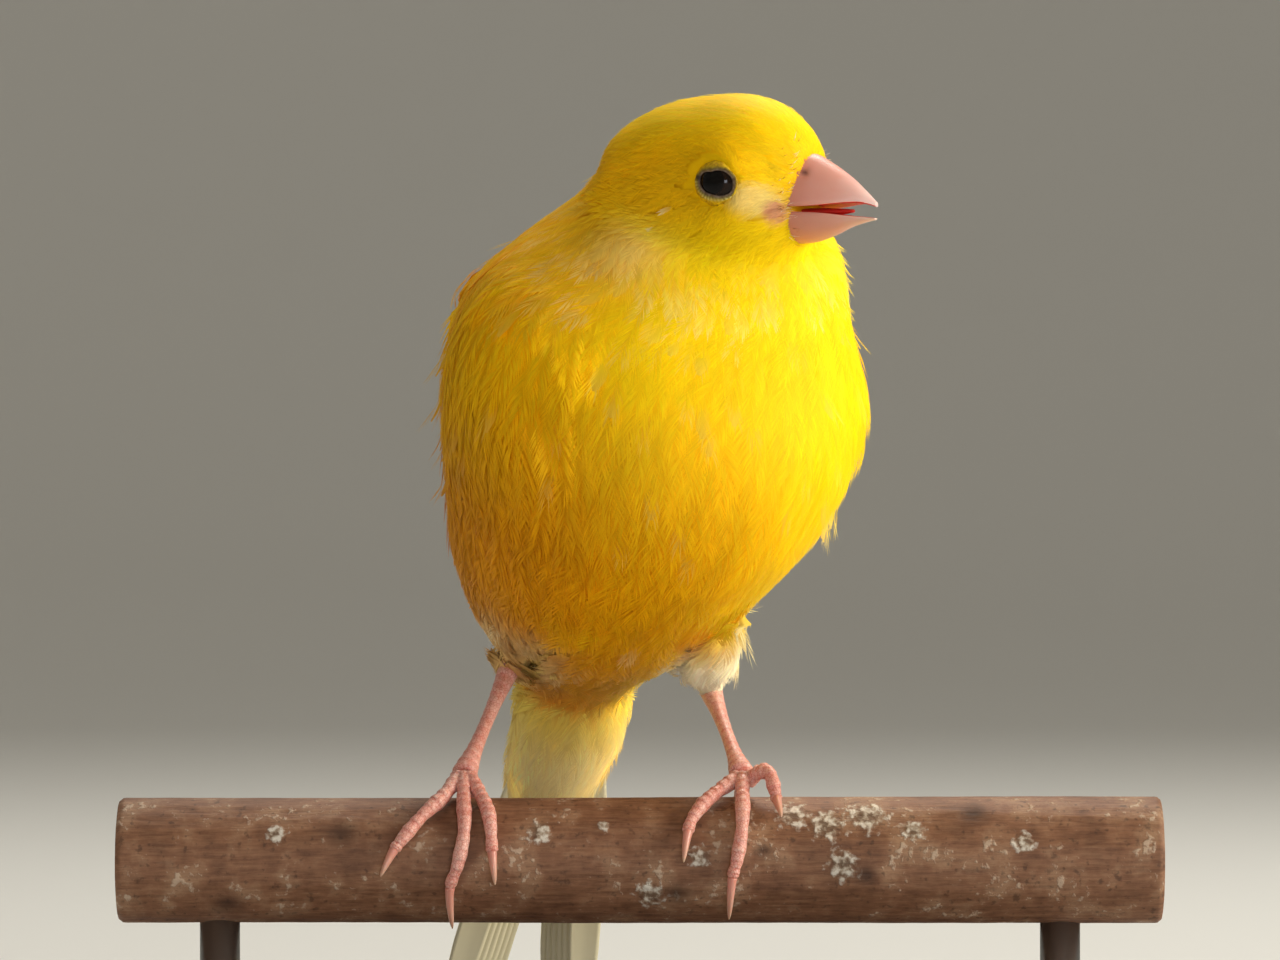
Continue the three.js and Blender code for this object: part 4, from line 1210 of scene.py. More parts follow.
def wing_spot(side, t, row, across, height):
    """A place on the folded wing in the world, across in mm from the row, height in mm over the body."""
    low, high = curve_through(WING_LOW, t), curve_through(WING_HIGH, t)
    around = low + (high - low) * row
    e = 0.02
    arc = on_form(WING_BED, t, around + e) - on_form(WING_BED, t, around - e)
    mm = np.linalg.norm(arc, axis=-1) / (2 * e)
    half = curve_through([station[2] for station in WING_BED], t)
    around = np.maximum(around + across / mm, MIDLINE_KEEP / half)
    return bird_to_world(off_form(WING_BED, t, side * around, height))


def wing_set(bm, side, count, root, tips, rows, half, level, step):
    """One tier of vanes from the root station to the tips' stations; gives the level for the next tier."""
    for i in range(count):
        share = i / (count - 1)
        row = rows[0] + (rows[1] - rows[0]) * share
        tip = curve_through(tips, share * (len(tips) - 1)) + 0.06 * math.sin(5 * i)
        lift = level + step * i
        add_vane(bm, lambda u, x, h: wing_spot(side, root + (tip - root) * u, row, x,
                                               lift - 1.1 * (1 - u) ** 4 + h + 0.08 * x),
                 (root - tip) * STATION_MM, half, notch=0.04)
    return level + step * count


for side, name in ((1, "left"), (-1, "right")):
    bm = bmesh.new()
    level = wing_set(bm, side, 8, 8.0, [0.95, 1.15, 1.7, 2.4, 3.1], (0.1, 0.48), 1.9, 0.35, 0.08)
    level = wing_set(bm, side, 6, 8.2, [3.7, 4.2, 4.8, 5.2], (0.42, 0.7), 2.3, level, 0.08)
    wing_set(bm, side, 3, 8.4, [4.4, 5.2, 6.1], (0.74, 0.9), 2.8, level, 0.08)
    finish_vanes(f"wing_flight_feathers_{name}", bm, wing_vanes, "plumage", f"wing_{name}")
    bm = bmesh.new()
    wing_set(bm, side, 12, 9.0, [6.8, 7.1, 7.5], (0.03, 0.94), 1.35, 0.85, 0.07)
    wing_set(bm, side, 11, 9.9, [8.0, 8.3, 8.6], (0.05, 0.92), 1.45, 1.1, 0.06)
    finish_vanes(f"wing_coverts_{name}", bm, covert_vanes, "plumage")

# %% [markdown]
# The tail has six pairs of feathers. They stack under each other towards the sides and part in the
# middle into the notch that a canary's tail shows. The photo looks at them from below.

# %% Tail
TAIL_START = 5
tail_vanes = vane_material("tail_feather", "#f7f5ea", "#f3ecc8", (0.05, 0.1))


def tail_spot(down, left, off):
    fore, up = tail_side(down, off)
    return bird_to_world(np.stack([left, -fore, up], -1))


bm = bmesh.new()
for pair in range(6):
    at = pair / 5
    for side in (-1, 1):
        length = TAIL["length"] - 1.8 * (1 - at) ** 2 - 0.5 * at ** 4
        root_left, tip_left = 0.6 + 2.2 * at, 3.9 + 0.5 * side + (3.7 - 0.5 * side) * at
        level = 0.6 - 0.2 * pair

        def place(u, across, height):
            left = TAIL["left"] + side * (root_left + (tip_left - root_left) * u ** 0.9) + across
            return tail_spot(TAIL_START + (length - TAIL_START) * u, left, level + height)

        add_vane(bm, place, length - TAIL_START, 1.9, notch=0.03, along_cells=30, ridge=0.06, camber=0.05)
finish_vanes("tail_feathers", bm, tail_vanes, "pale_plumage", "tail")

# %% [markdown]
# A bird's eye looks almost black here: a wet, very smooth cornea over a dark brown iris. The lids are bare
# skin, brown at their edge and yellow where they meet the feathers. Numbers kept on the lid's vertices say
# how far out, how beaded and how near a corner each place is, and the material turns them into colour.

# %% Eye and lid finishes
def eye_frame(name):
    """The turn and place that carry an eye's own millimetres, x outward, y to the rear, z up."""
    side, y, z = EYE_PLACE[name]
    origin = Vector(head_to_world([side, y, z]))
    out = Vector(head_to_world([side + math.copysign(1, side), y, z])) - origin
    back = Vector(head_to_world([side, y + 1, z])) - origin
    turn = Matrix((out, back, Vector((0, 0, MM)))).transposed().to_4x4()
    return Matrix.Translation(origin) @ turn


def eye_material(name, centre, axis):
    """A wet cornea: clear and very smooth, with the dark brown iris seen as a faint ring inside it."""
    material, tree, shader = new_material(name, Roughness=0.03, IOR=1.376, Specular_IOR_Level=0.3)
    place = add_node(tree, "ShaderNodeTexCoord").outputs["Object"]
    offset = add_node(tree, "ShaderNodeVectorMath", {0: place, 1: centre}, operation="SUBTRACT").outputs[0]
    facing = add_node(tree, "ShaderNodeVectorMath", {0: offset, 1: axis}, operation="DOT_PRODUCT")
    depth = add_node(tree, "ShaderNodeMapRange", {"Value": facing.outputs["Value"], "From Min": 0.0019,
                                                  "From Max": 0.00245}).outputs[0]
    colour = colour_steps(tree, depth, [(0, "#1d120b"), (0.35, "#22140b"), (0.55, "#090505"), (1, "#040303")])
    tree.links.new(colour, shader.inputs["Base Color"])
    return material


lid_skin, tree, shader = new_material("bare_lid_skin", Roughness=0.5, IOR=1.42, Subsurface_Weight=0.15,
                                      Subsurface_Radius=(0.0006, 0.0004, 0.0002), Subsurface_Scale=1.0)
lid_share, bead_share, corner_share = (
    add_node(tree, "ShaderNodeAttribute", attribute_name=name).outputs["Fac"]
    for name in ("lid", "bead", "corner"))
lid_colour = colour_steps(tree, lid_share, [(0, "#3a2c26"), (0.04, "#8a7666"), (0.1, "#7d6a4c"),
                                            (0.17, "#80702a"), (0.34, "#c0a31c"), (0.5, "#e2bb0e")])
# Fine wrinkles about 0.3 mm apart darken the bare skin here and there
place = add_node(tree, "ShaderNodeTexCoord").outputs["Object"]
wrinkle = add_node(tree, "ShaderNodeTexNoise", {"Vector": place, "Scale": 3200, "Detail": 3}).outputs["Fac"]
wrinkle = colour_steps(tree, wrinkle, [(0.35, "#c9b98c"), (0.6, "#ffffff")])
lid_colour = mix_colour(tree, 1.0, lid_colour, wrinkle, "MULTIPLY")
lid_colour = mix_colour(tree, bead_share, lid_colour, rgba("#e2d476"))
lid_colour = mix_colour(tree, corner_share, lid_colour, rgba("#2c211b"))
tree.links.new(lid_colour, shader.inputs["Base Color"])

print("materials for the eyes and", lid_skin.name)

# %% [markdown]
# The eye is a true ball, and the lid is a thin ring that fits over it. The ring starts as a profile that is
# spun round the eye's axis, which keeps it even, and is then pulled into the shape of the opening. Small
# beads stand on its edge, the lower lid is broader than the upper one, and the rear corner is dark.

# %% Eyes
# The lid's profile as [degrees from the eye's axis, distance from its centre in mm]: out over the ring and
# back under it
LID_PROFILE = [(34, 2.53), (34.5, 2.62), (37, 2.72), (40, 2.8), (44, 2.85), (49, 2.88), (55, 2.88),
               (61, 2.84), (67, 2.76), (69, 2.62), (60, 2.54), (48, 2.53), (38, 2.525)]
LID_STEPS, BEADS = 230, 34
# How far the lids open, from the front down under the eye to the rear and back over it, every 30 degrees
OPENING = [1.39, 1.46, 1.14, 0.87, 0.84, 0.89, 0.99, 0.98, 0.72, 0.62, 0.81, 1.12, 1.39]

for name in ("left", "right"):
    to_world = eye_frame(name)
    centre = to_world.translation
    axis = (to_world.to_3x3() @ Vector((1, 0, 0))).normalized()
    bm = bmesh.new()
    bmesh.ops.create_uvsphere(bm, u_segments=64, v_segments=40, radius=EYE_RADIUS,
                              matrix=to_world @ Matrix.Rotation(math.radians(90), 4, "Y"))
    eye = new_piece(f"eyeball_{name}", bm, eye_material(f"wet_dark_eye_{name}", tuple(centre), tuple(axis)))
    dress(eye, "eye", f"eye_{name}")

    bm = bmesh.new()
    profile = [(r * math.cos(math.radians(a)), 0, r * math.sin(math.radians(a))) for a, r in LID_PROFILE]
    spin_profile(bm, profile, (1, 0, 0), LID_STEPS, closed=True)
    bmesh.ops.recalc_face_normals(bm, faces=bm.faces)
    ring = new_piece(f"lid_ring_{name}", bm, lid_skin)
    co = coordinates(ring.data)
    reach = np.linalg.norm(co, axis=1)
    polar = np.degrees(np.arccos(co[:, 0] / reach))
    around = np.arctan2(co[:, 2], co[:, 1])
    outer = smooth_step(2.58, 2.66, reach)
    bead_row = np.exp(-((polar - 43.5) / 3.4) ** 2) * smooth_step(0.5, -0.1, np.sin(around)) * outer
    bead = bead_row * np.clip(0.5 + 0.5 * np.cos(BEADS * around + 0.8 * np.sin(3 * around)), 0, 1) ** 0.7
    bead = bead * (0.75 + 0.25 * np.sin(5 * around + 1))
    folds = 0.03 * np.sin(BEADS * around / 2 + 2 * np.sin(2 * around)) * smooth_step(45, 55, polar) * outer
    upper = smooth_step(-0.1, 0.6, np.sin(around))
    share = np.clip((polar - 34) / 34, 0, 1)
    number_attribute(ring.data, "lid", share)
    # The opening is a tilted egg, blunt in front; further out the ring is round again
    opening = curve_through(OPENING, (np.degrees(around) + 180) / 30)
    outside = 0.93 - 0.2 * upper - 0.11 * smooth_step(0, -0.8, np.cos(around)) * (1 - upper)
    slope = np.radians(polar * (opening + (outside - opening) * smooth_step(0, 1, share)))
    reach = reach + 0.09 * bead + folds - 0.05 * upper * outer
    co = np.stack([reach * np.cos(slope), reach * np.sin(slope) * np.cos(around),
                   reach * np.sin(slope) * np.sin(around)], 1)
    corner = np.exp(-((around - 0.25) / 0.16) ** 2) + 0.3 * np.exp(-((np.abs(around) - math.pi) / 0.16) ** 2)
    number_attribute(ring.data, "bead", bead)
    number_attribute(ring.data, "corner", np.clip(corner * smooth_step(60, 42, polar), 0, 0.85))
    move_vertices(ring.data, co @ np.array(to_world.to_3x3()).T + np.array(centre))
    ring_bm = bmesh.new()
    ring_bm.from_mesh(ring.data)
    bmesh.ops.recalc_face_normals(ring_bm, faces=ring_bm.faces)
    ring_bm.to_mesh(ring.data)
    ring_bm.free()
    dress(ring, "leg_skin")
print("two eyes with", BEADS, "beads round each lid")

# %% [markdown]
# The bill is pink horn, smooth and slightly see-through, paler at the tips. Each half is a loft through
# the same stations as its solid, with many more rings and a hollow, red-lined inner side.

# %% Bill
# Stations as [fore, height of the cutting edge, top, underside, half the width] in the head's millimetres
UPPER_BILL = [(9.2, 64.75, 70.5, 64.6, 4.2), (11.8, 64.72, 70, 64.6, 3.75), (13.7, 64.85, 69, 64.65, 3.05),
              (15.6, 65.05, 67.7, 64.8, 2.15), (17.2, 65.15, 66.3, 64.8, 1.25),
              (18.5, 64.8, 65.1, 64.55, 0.3)]
LOWER_BILL = [(9.2, 64.2, 64.28, 61.2, 3.8), (11.6, 64.18, 64.28, 61.3, 3.25),
              (13.8, 64.05, 64.15, 61.9, 2.4), (15.7, 63.8, 63.95, 62.7, 1.5),
              (17.2, 63.65, 63.75, 63.1, 0.8), (18.4, 63.5, 63.6, 63.35, 0.3)]
TONGUE = [(10.2, 64.25, 64.65, 63.85, 1.4), (12.8, 64.25, 64.65, 63.85, 1.25),
          (14.7, 64.25, 64.55, 63.95, 0.85), (16, 64.3, 64.45, 64.15, 0.25)]
NOSTRIL = {"fore": 11.9, "up": 68.0, "side": 3.2}
MOUTH_UP = 64.6


def bill_rings(stations, rings, sides, hollow=0.0):
    out = []
    angle = np.linspace(0, 2 * math.pi, sides, endpoint=False)
    for t in np.linspace(0, len(stations) - 1, rings):
        fore, edge, top, under, half = curve_through(stations, t)
        rise = np.where(np.cos(angle) > 0, top - edge, edge - under)
        z = edge + rise * np.cos(angle)
        inside = hollow * half * np.exp(-(np.sin(angle) / 0.72) ** 4)
        upper = top - edge > edge - under
        z = np.where((np.cos(angle) < -0.01) == upper, z + (inside if upper else -inside), z)
        out.append(np.stack([half * np.sin(angle), np.full(sides, -fore), z], -1))
    return out


def horn_material(name, base, middle, tip):
    """Keratin horn over bone: satin, slightly see-through, pink from the blood under it."""
    material, tree, shader = new_material(name, Roughness=0.38, IOR=1.54, Specular_IOR_Level=0.35,
                                          Subsurface_Weight=0.3, Subsurface_Radius=(0.0012, 0.0005, 0.0003),
                                          Subsurface_Scale=1.0)
    place = add_node(tree, "ShaderNodeTexCoord").outputs["Object"]
    root, end = (Vector(head_to_world([0, -fore, 66])) for fore in (10.5, 18.4))
    offset = add_node(tree, "ShaderNodeVectorMath", {0: place, 1: root}, operation="SUBTRACT").outputs[0]
    axis = (end - root).normalized()
    along = add_node(tree, "ShaderNodeVectorMath", {0: offset, 1: tuple(axis)}, operation="DOT_PRODUCT")
    share = add_node(tree, "ShaderNodeMapRange", {"Value": along.outputs["Value"],
                                                  "From Max": (end - root).length})
    # Faint cloudiness about 1 mm across
    grain = add_node(tree, "ShaderNodeTexNoise", {"Vector": place, "Scale": 900, "Detail": 3}).outputs["Fac"]
    soft = add_node(tree, "ShaderNodeMapRange", {"Value": grain, "To Min": -0.08, "To Max": 0.08}).outputs[0]
    moved = add_node(tree, "ShaderNodeMath", {0: share.outputs[0], 1: soft}, operation="ADD").outputs[0]
    colour = colour_steps(tree, moved, [(0, base), (0.55, middle), (1, tip)])
    # The nostril's dent is painted dark, as painted shade inside its opening.
    dent = add_node(tree, "ShaderNodeAttribute", attribute_name="nostril").outputs["Fac"]
    tree.links.new(mix_colour(tree, dent, colour, rgba("#6d3a30")), shader.inputs["Base Color"])
    bump = add_node(tree, "ShaderNodeBump", {"Height": grain, "Strength": 0.15, "Distance": 0.00008})
    tree.links.new(bump.outputs[0], shader.inputs["Normal"])
    return material


upper_horn = horn_material("pink_upper_bill", "#da907e", "#e6a797", "#eccac4")
# The lower bill takes the same horn painted darker, as painted shade under the upper bill and head.
lower_horn = horn_material("pink_lower_bill_painted_shade", "#cf8873", "#d79b88", "#e4c4b6")
mouth, _, _ = new_material("wet_mouth_lining", Base_Color=rgba("#d8362a"), Roughness=0.5, IOR=1.35,
                           Subsurface_Weight=0.2, Subsurface_Radius=(0.002, 0.0006, 0.0004))
for node, stations, hollow in (("bill_upper", UPPER_BILL, 0.16), ("bill_lower", LOWER_BILL, 0.2)):
    bm = bmesh.new()
    loft(bm, bill_rings(stations, 56, 64, hollow))
    bmesh.ops.recalc_face_normals(bm, faces=bm.faces)
    for face in bm.faces:
        inner = face.normal.z < -0.35 if node == "bill_upper" else face.normal.z > 0.35
        face.material_index = int(inner and abs(face.calc_center_median().z - MOUTH_UP) < 1.2)
    piece = new_piece(f"{node}_horn", bm, upper_horn if node == "bill_upper" else lower_horn, mouth)
    co = coordinates(piece.data)
    dent = np.zeros(len(co))
    if node == "bill_upper":
        for side in (-1, 1):
            off = co - [side * NOSTRIL["side"], -NOSTRIL["fore"], NOSTRIL["up"]]
            near = np.exp(-((off[:, 1] / 0.42) ** 2 + (off[:, 2] / 0.26) ** 2)) * (np.abs(off[:, 0]) < 1.2)
            dent = np.maximum(dent, near)
            co[:, 0] -= side * 0.4 * near
    # The dent's share is painted dark by the horn's material, as painted shade in the nostril.
    number_attribute(piece.data, "nostril", 0.85 * dent)
    move_vertices(piece.data, head_to_world(co))
    dress(piece, "bill", node)
bm = bmesh.new()
loft(bm, bill_rings(TONGUE, 14, 20))
for vertex in bm.verts:
    vertex.co = head_to_world(np.array(vertex.co))
bmesh.ops.recalc_face_normals(bm, faces=bm.faces)
dress(new_piece("tongue_flesh", bm, mouth), "mouth", "tongue")
print("bill and tongue made")

# %% [markdown]
# Stiff little bristles stand round the base of the bill: short orange-brown ones point forward over the
# nostrils, and whitish and brown ones cross the corner of the mouth and the lores. They are single spindles.

# %% Bristles
def bristle_piece(name, roots, ways, lengths, thickness, colours):
    """Single curved hairs from roots in the world, all as one mesh."""
    count = len(roots)
    up = unit(np.cross(ways, np.cross(DOWN, ways)))
    cross = unit(np.cross(ways, up))
    middle = roots + ways * (0.5 * lengths * MM)[:, None] - up * (0.04 * lengths * MM)[:, None]
    tip = roots + ways * (lengths * MM)[:, None] - up * (0.2 * lengths * MM)[:, None]
    r = thickness * MM / 2
    points = np.stack([roots, middle - cross * r, middle + cross * r, middle - up * r, tip], 1)
    faces = (BARB_FACES[:, ::-1] + 5 * np.arange(count)[:, None, None]).reshape(-1, 3)
    mesh = mesh_from_arrays(name, points.reshape(-1, 3), faces)
    paint(mesh, np.repeat(colours, 5, 0))
    layer = mesh.uv_layers.new(name="OFBake")
    place = np.stack([0.02 + 0.95 * np.arange(count) / count, np.full(count, 0.995)], -1)
    patch = place[:, None, :] + np.array([[0, 0], [0, 0.5], [1, 0.5], [0.5, 0.5], [1, 1]]) * PATCH
    layer.data.foreach_set("uv", patch.reshape(-1, 2)[faces.reshape(-1)].astype(np.float32).ravel())
    dress(link_piece(name, mesh, feather_coat), "plumage")


# Degrees down from the top of the bill's base: most stand over the nostrils and at the gape
turn = np.radians(np.concatenate([rng.normal(50, 9, 26), rng.normal(104, 15, 64), rng.uniform(60, 165, 22)]))
count = len(turn)
side = rng.choice([-1, 1], count)
start = np.stack([side * 4.4 * np.sin(turn), -9.9 + 0.75 * rng.normal(0, 1, count),
                  65.9 + 4.7 * np.cos(turn)], -1)
roots = nearest_skin(head_to_world(start))[0]
way = np.stack([0.35 * side * np.sin(turn), np.full(count, -1.0), 0.4 * np.cos(turn) - 0.15], -1)
way = way + 0.28 * rng.normal(0, 1, (count, 3))
ways = unit(head_to_world(way) - head_to_world(np.zeros(3)))
BRISTLE_COLOURS = np.array([linear(c) for c in ("#d08a3c", "#9a6640", "#f6ead0")])
tints = BRISTLE_COLOURS[rng.choice(3, count, p=[0.3, 0.2, 0.5])]
bristle_piece("bristles_at_bill", roots, ways, rng.uniform(0.8, 1.6, count), 0.07, tints)
print(len(roots), "bristles")

# %% [markdown]
# A canary's shank and toes are thin, pink and scaled: broad overlapping plates run down the front of the
# shank and the top of each toe, with small soft pads under the toe joints. Each limb is a loft of many
# rings round a smooth line, and the plates are steps in the radius on its outer side. The toes' lines are
# given round the perch, so that they grip it.

# %% Lines of the feet
PERCH_RADIUS, PERCH_Y, PERCH_Z, BARK_GAP, TOE_RADIUS = 6.25, -6.0, 32.0, 0.3, 0.75
SHANK_RINGS, TOE_RINGS, CLAW_RINGS = 90, 100, 40
FOOT_PAD = {"left": (10.2, 2, 1.2), "right": (-17.6, 2, 1.2)}
# Toes over the perch as [along it, degrees round from its top to the front, lift]; the last is a claw tip
TOES = {
    "inner_right": [(-17, 8, 0.9), (-15.8, 28, 0.2), (-15, 48, 0), (-14.7, 68, 0), (-14.6, 82, 0.1),
                    (-14.3, 104, 0.8)],
    "middle_right": [(-17.6, 10, 0.9), (-17.5, 34, 0.1), (-17.4, 64, 0), (-18, 90, 0), (-18.8, 110, 0.1),
                     (-18.6, 142, 0.9)],
    "outer_right": [(-18.2, 8, 0.9), (-19.6, 30, 0.2), (-21.6, 50, 0), (-23.5, 70, 0), (-24.4, 80, 0.1),
                    (-25.6, 98, 0.8)],
    "hind_right": [(-17.4, -8, 0.8), (-16.8, -32, 0.2), (-16.5, -58, 0), (-16.4, -80, 0), (-16.4, -92, 0.1),
                   (-16.6, -128, 1)],
    "inner_left": [(9.6, 8, 0.9), (7.8, 22, 0.3), (6.2, 38, 0), (5.1, 54, 0), (4.7, 66, 0.1), (4.3, 88, 0.8)],
    "middle_left": [(10.2, 10, 0.9), (10.2, 32, 0.1), (10.1, 60, 0), (9.6, 86, 0), (9.1, 102, 0.1),
                    (8.8, 132, 0.9)],
    "outer_left": [(10.9, 8, 0.9), (12, 12, 1.8), (12.9, 17, 1.9), (13.4, 26, 0.6), (13.6, 33, 0.1),
                   (14, 54, 0.6)],
    "hind_left": [(10.4, -8, 0.8), (10.2, -32, 0.2), (10.1, -58, 0), (10.1, -80, 0), (10.2, -92, 0.1),
                  (10.4, -128, 1)],
}


def on_perch(x, degrees, lift):
    angle = np.radians(degrees)
    reach = PERCH_RADIUS + BARK_GAP + TOE_RADIUS + lift
    return np.stack([x, PERCH_Y - reach * np.sin(angle), PERCH_Z + reach * np.cos(angle)], -1)


def limb(line, radius, outward, sides=20, plates=0, plate_height=0.1, flat=1.0):
    """Rings round a line in mm. Plates step outwards on the side that outward points to."""
    along = unit(np.gradient(line, axis=0))
    front = unit(outward - along * np.sum(outward * along, -1, keepdims=True))
    left = np.cross(along, front)
    travel = np.linspace(0, 1, len(line))
    angle = np.linspace(0, 2 * math.pi, sides, endpoint=False)
    saw = (travel * plates) % 1.0 if plates else 0 * travel
    facing = np.clip(np.cos(angle), 0, 1) ** 0.5
    reach = radius[:, None] * (1 + plate_height * (saw - 0.5)[:, None] * facing * (1 if plates else 0))
    x = reach * np.sin(angle) * flat
    y = reach * np.cos(angle)
    return [line[n] + left[n] * x[n][:, None] + front[n] * y[n][:, None] for n in range(len(line))]


print(len(TOES), "toes")

# %% [markdown]
# The skin of the leg is thin, and the blood under it makes it pink. Between the big plates it has tiny
# scales, for which Voronoi cells are drawn at their real size. The claws are horn, pink at the root where
# the quick shows through and paler at the tip.

# %% Finishes of the leg skin and claws
def skin_of_leg(name):
    """Thin scaled skin with blood showing through: pink, a little wet-looking, redder between the plates."""
    material, tree, shader = new_material(name, Roughness=0.36, IOR=1.45, Subsurface_Weight=0.3,
                                          Subsurface_Radius=(0.0014, 0.0005, 0.0003), Subsurface_Scale=1.0)
    place = add_node(tree, "ShaderNodeTexCoord").outputs["Object"]
    blotch = add_node(tree, "ShaderNodeTexNoise", {"Vector": place, "Scale": 260, "Detail": 4}).outputs["Fac"]
    # Scales between the plates are about 0.35 mm wide
    scales = add_node(tree, "ShaderNodeTexVoronoi", {"Vector": place, "Scale": 2900},
                      feature="DISTANCE_TO_EDGE")
    seam = add_node(tree, "ShaderNodeMapRange", {"Value": scales.outputs["Distance"],
                                                 "From Max": 0.12}).outputs[0]
    colour = colour_steps(tree, blotch, [(0.25, "#d68a7b"), (0.5, "#e4a293"), (0.8, "#efc0b2")])
    plate = add_node(tree, "ShaderNodeAttribute", attribute_name="plate").outputs["Fac"]
    colour = mix_colour(tree, plate, colour, rgba("#f4d2c6"))
    seams = colour_steps(tree, seam, [(0, "#dfb3a8"), (1, "#ffffff")])
    colour = mix_colour(tree, 1.0, colour, seams, "MULTIPLY")
    tree.links.new(colour, shader.inputs["Base Color"])
    bump = add_node(tree, "ShaderNodeBump", {"Height": seam, "Strength": 0.35, "Distance": 0.00004})
    tree.links.new(bump.outputs[0], shader.inputs["Normal"])
    return material


leg_skin = skin_of_leg("scaled_leg_skin")
claw_horn, tree, shader = new_material("claw_horn", Roughness=0.3, IOR=1.54, Subsurface_Weight=0.35,
                                       Subsurface_Radius=(0.001, 0.0005, 0.0003), Subsurface_Scale=1.0)
share = add_node(tree, "ShaderNodeAttribute", attribute_name="plate").outputs["Fac"]
place = add_node(tree, "ShaderNodeTexCoord").outputs["Object"]
cloudy = add_node(tree, "ShaderNodeTexNoise", {"Vector": place, "Scale": 700, "Detail": 2}).outputs["Fac"]
cloudy = add_node(tree, "ShaderNodeMapRange", {"Value": cloudy, "To Min": -0.08, "To Max": 0.08}).outputs[0]
share = add_node(tree, "ShaderNodeMath", {0: share, 1: cloudy}).outputs[0]
tree.links.new(colour_steps(tree, share, [(0, "#d98f80"), (0.45, "#d9a08c"), (1, "#c9a58c")]),
               shader.inputs["Base Color"])
print("materials", leg_skin.name, "and", claw_horn.name)

# %% [markdown]
# The limbs are lofted now, each over its own solid. A toe is thicker at its joints, and its last stretch
# runs inside the claw, so no gap shows between them. The claw is a tapered loft along the end of the same
# line, narrower than it is deep.

# %% Feet
def limb_piece(name, rings, material, slot, plate_count, *nodes):
    bm = bmesh.new()
    loft(bm, [ring * MM for ring in rings])
    bmesh.ops.recalc_face_normals(bm, faces=bm.faces)
    piece = new_piece(name, bm, material)
    travel = np.repeat(np.linspace(0, 1, len(rings)), len(rings[0]))[:len(piece.data.vertices)]
    number_attribute(piece.data, "plate", ((travel * plate_count) % 1) * 0.4 if plate_count else travel)
    dress(piece, slot, *nodes)


for side in ("left", "right"):
    ankle = bird_to_world(np.array(KNEES[side][1])) / MM
    pad = on_perch(*(np.array(v, float) for v in FOOT_PAD[side]))
    t = np.linspace(0, 1, SHANK_RINGS)
    line = ankle + (pad - ankle) * t[:, None]
    radius = curve_through([1.3, 0.98, 0.78, 0.75, 0.92, 1.4], t * 5)
    radius = radius * np.minimum(1, np.sqrt(np.maximum(1 - ((t - 0.5) / 0.503) ** 2, 0)) * 5)
    rings = limb(line, radius, np.array([0, -1.0, 0.25]), 22, 13, 0.14, 0.92)
    limb_piece(f"shank_{side}", rings, leg_skin, "leg_skin", 13, f"tarsus_{side}")
    for toe in ("inner", "middle", "outer", "hind"):
        places = np.array(TOES[f"{toe}_{side}"], float)
        t = np.linspace(-0.3, 4, TOE_RINGS)
        line = on_perch(*curve_through(np.concatenate([2 * places[:1] - places[1:2], places]), t + 1).T)
        length_mm = np.linalg.norm(np.diff(line, axis=0), axis=1).sum()
        joints = 3 if toe != "inner" else 2
        radius = 0.82 - 0.05 * np.clip(t, 0, 4) + 0.08 * np.cos(2 * math.pi * joints * t / 4) ** 3
        radius = radius * np.sqrt(np.clip(np.minimum((t + 0.3) / 0.2, (4 - t) / 0.2), 0.03, 1))
        outward = line * [0, 1, 1] - [0, PERCH_Y, PERCH_Z]
        plates = round(length_mm / 0.95)
        rings = limb(line, radius, outward, 20, plates, 0.2, 0.95)
        limb_piece(f"scaled_toe_{toe}_{side}", rings, leg_skin, "leg_skin", plates, f"toe_{toe}_{side}")
        line = on_perch(*curve_through(places, np.linspace(3.93, 5, CLAW_RINGS)).T)
        radius = curve_through([0.62, 0.56, 0.5, 0.42, 0.33, 0.22, 0.07], np.linspace(0, 6, CLAW_RINGS))
        outward = line * [0, 1, 1] - [0, PERCH_Y, PERCH_Z]
        rings = limb(line, radius, outward, 14, 0, 0, 0.8)
        limb_piece(f"claw_horn_{toe}_{side}", rings, claw_horn, "claw", 0, f"claw_{toe}_{side}")
print("two shanks, eight toes and eight claws")

# %% [markdown]
# The perch is a cut twig with its thin, smooth brown bark still on: fine grain along it, and a few healed
# buds and knots. A circle is extruded along the twig in many steps, and its rings are moved in and out by
# less than 0.25 mm. So the relief is real and also shows in the outline, which a bump wouldn't do.

# %% Relief of the bark
PERCH_HALF, KNOT_STRETCH = 52.0, 1.3
# Knots as [mm along the perch, degrees round from its top to the front, size in mm]
KNOTS = [(-29.6, 62, 2.6), (-16, 28, 1.6), (3.6, 118, 1.8), (22.4, 100, 1.7), (33, 40, 2.2), (-41, 130, 2.4),
         (-4, -70, 2.2), (18, -120, 2.0), (40, -30, 1.8), (12.2, 78, 1.2)]
# Stains and chalky crusts on the bark, placed the same way
CRUSTS = [(1.0, 120, 1.9), (6.0, 84, 1.4), (15.2, 40, 2.2), (18.6, 52, 2.4), (22.5, 42, 2.6), (20, 92, 2.0),
          (-10, 60, 1.5), (-3.6, 54, 0.8), (27, 58, 1.6), (38, 70, 1.4), (-36, 62, 1.3)]


def bark_distance(x, angle, place, degrees, stretch=1.0):
    """Distance in mm over the bark from a place, shorter along the twig where stretch is over 1."""
    round_to = np.angle(np.exp(1j * (angle - math.radians(degrees)))) * PERCH_RADIUS
    return np.sqrt(((x - place) / stretch) ** 2 + round_to ** 2)


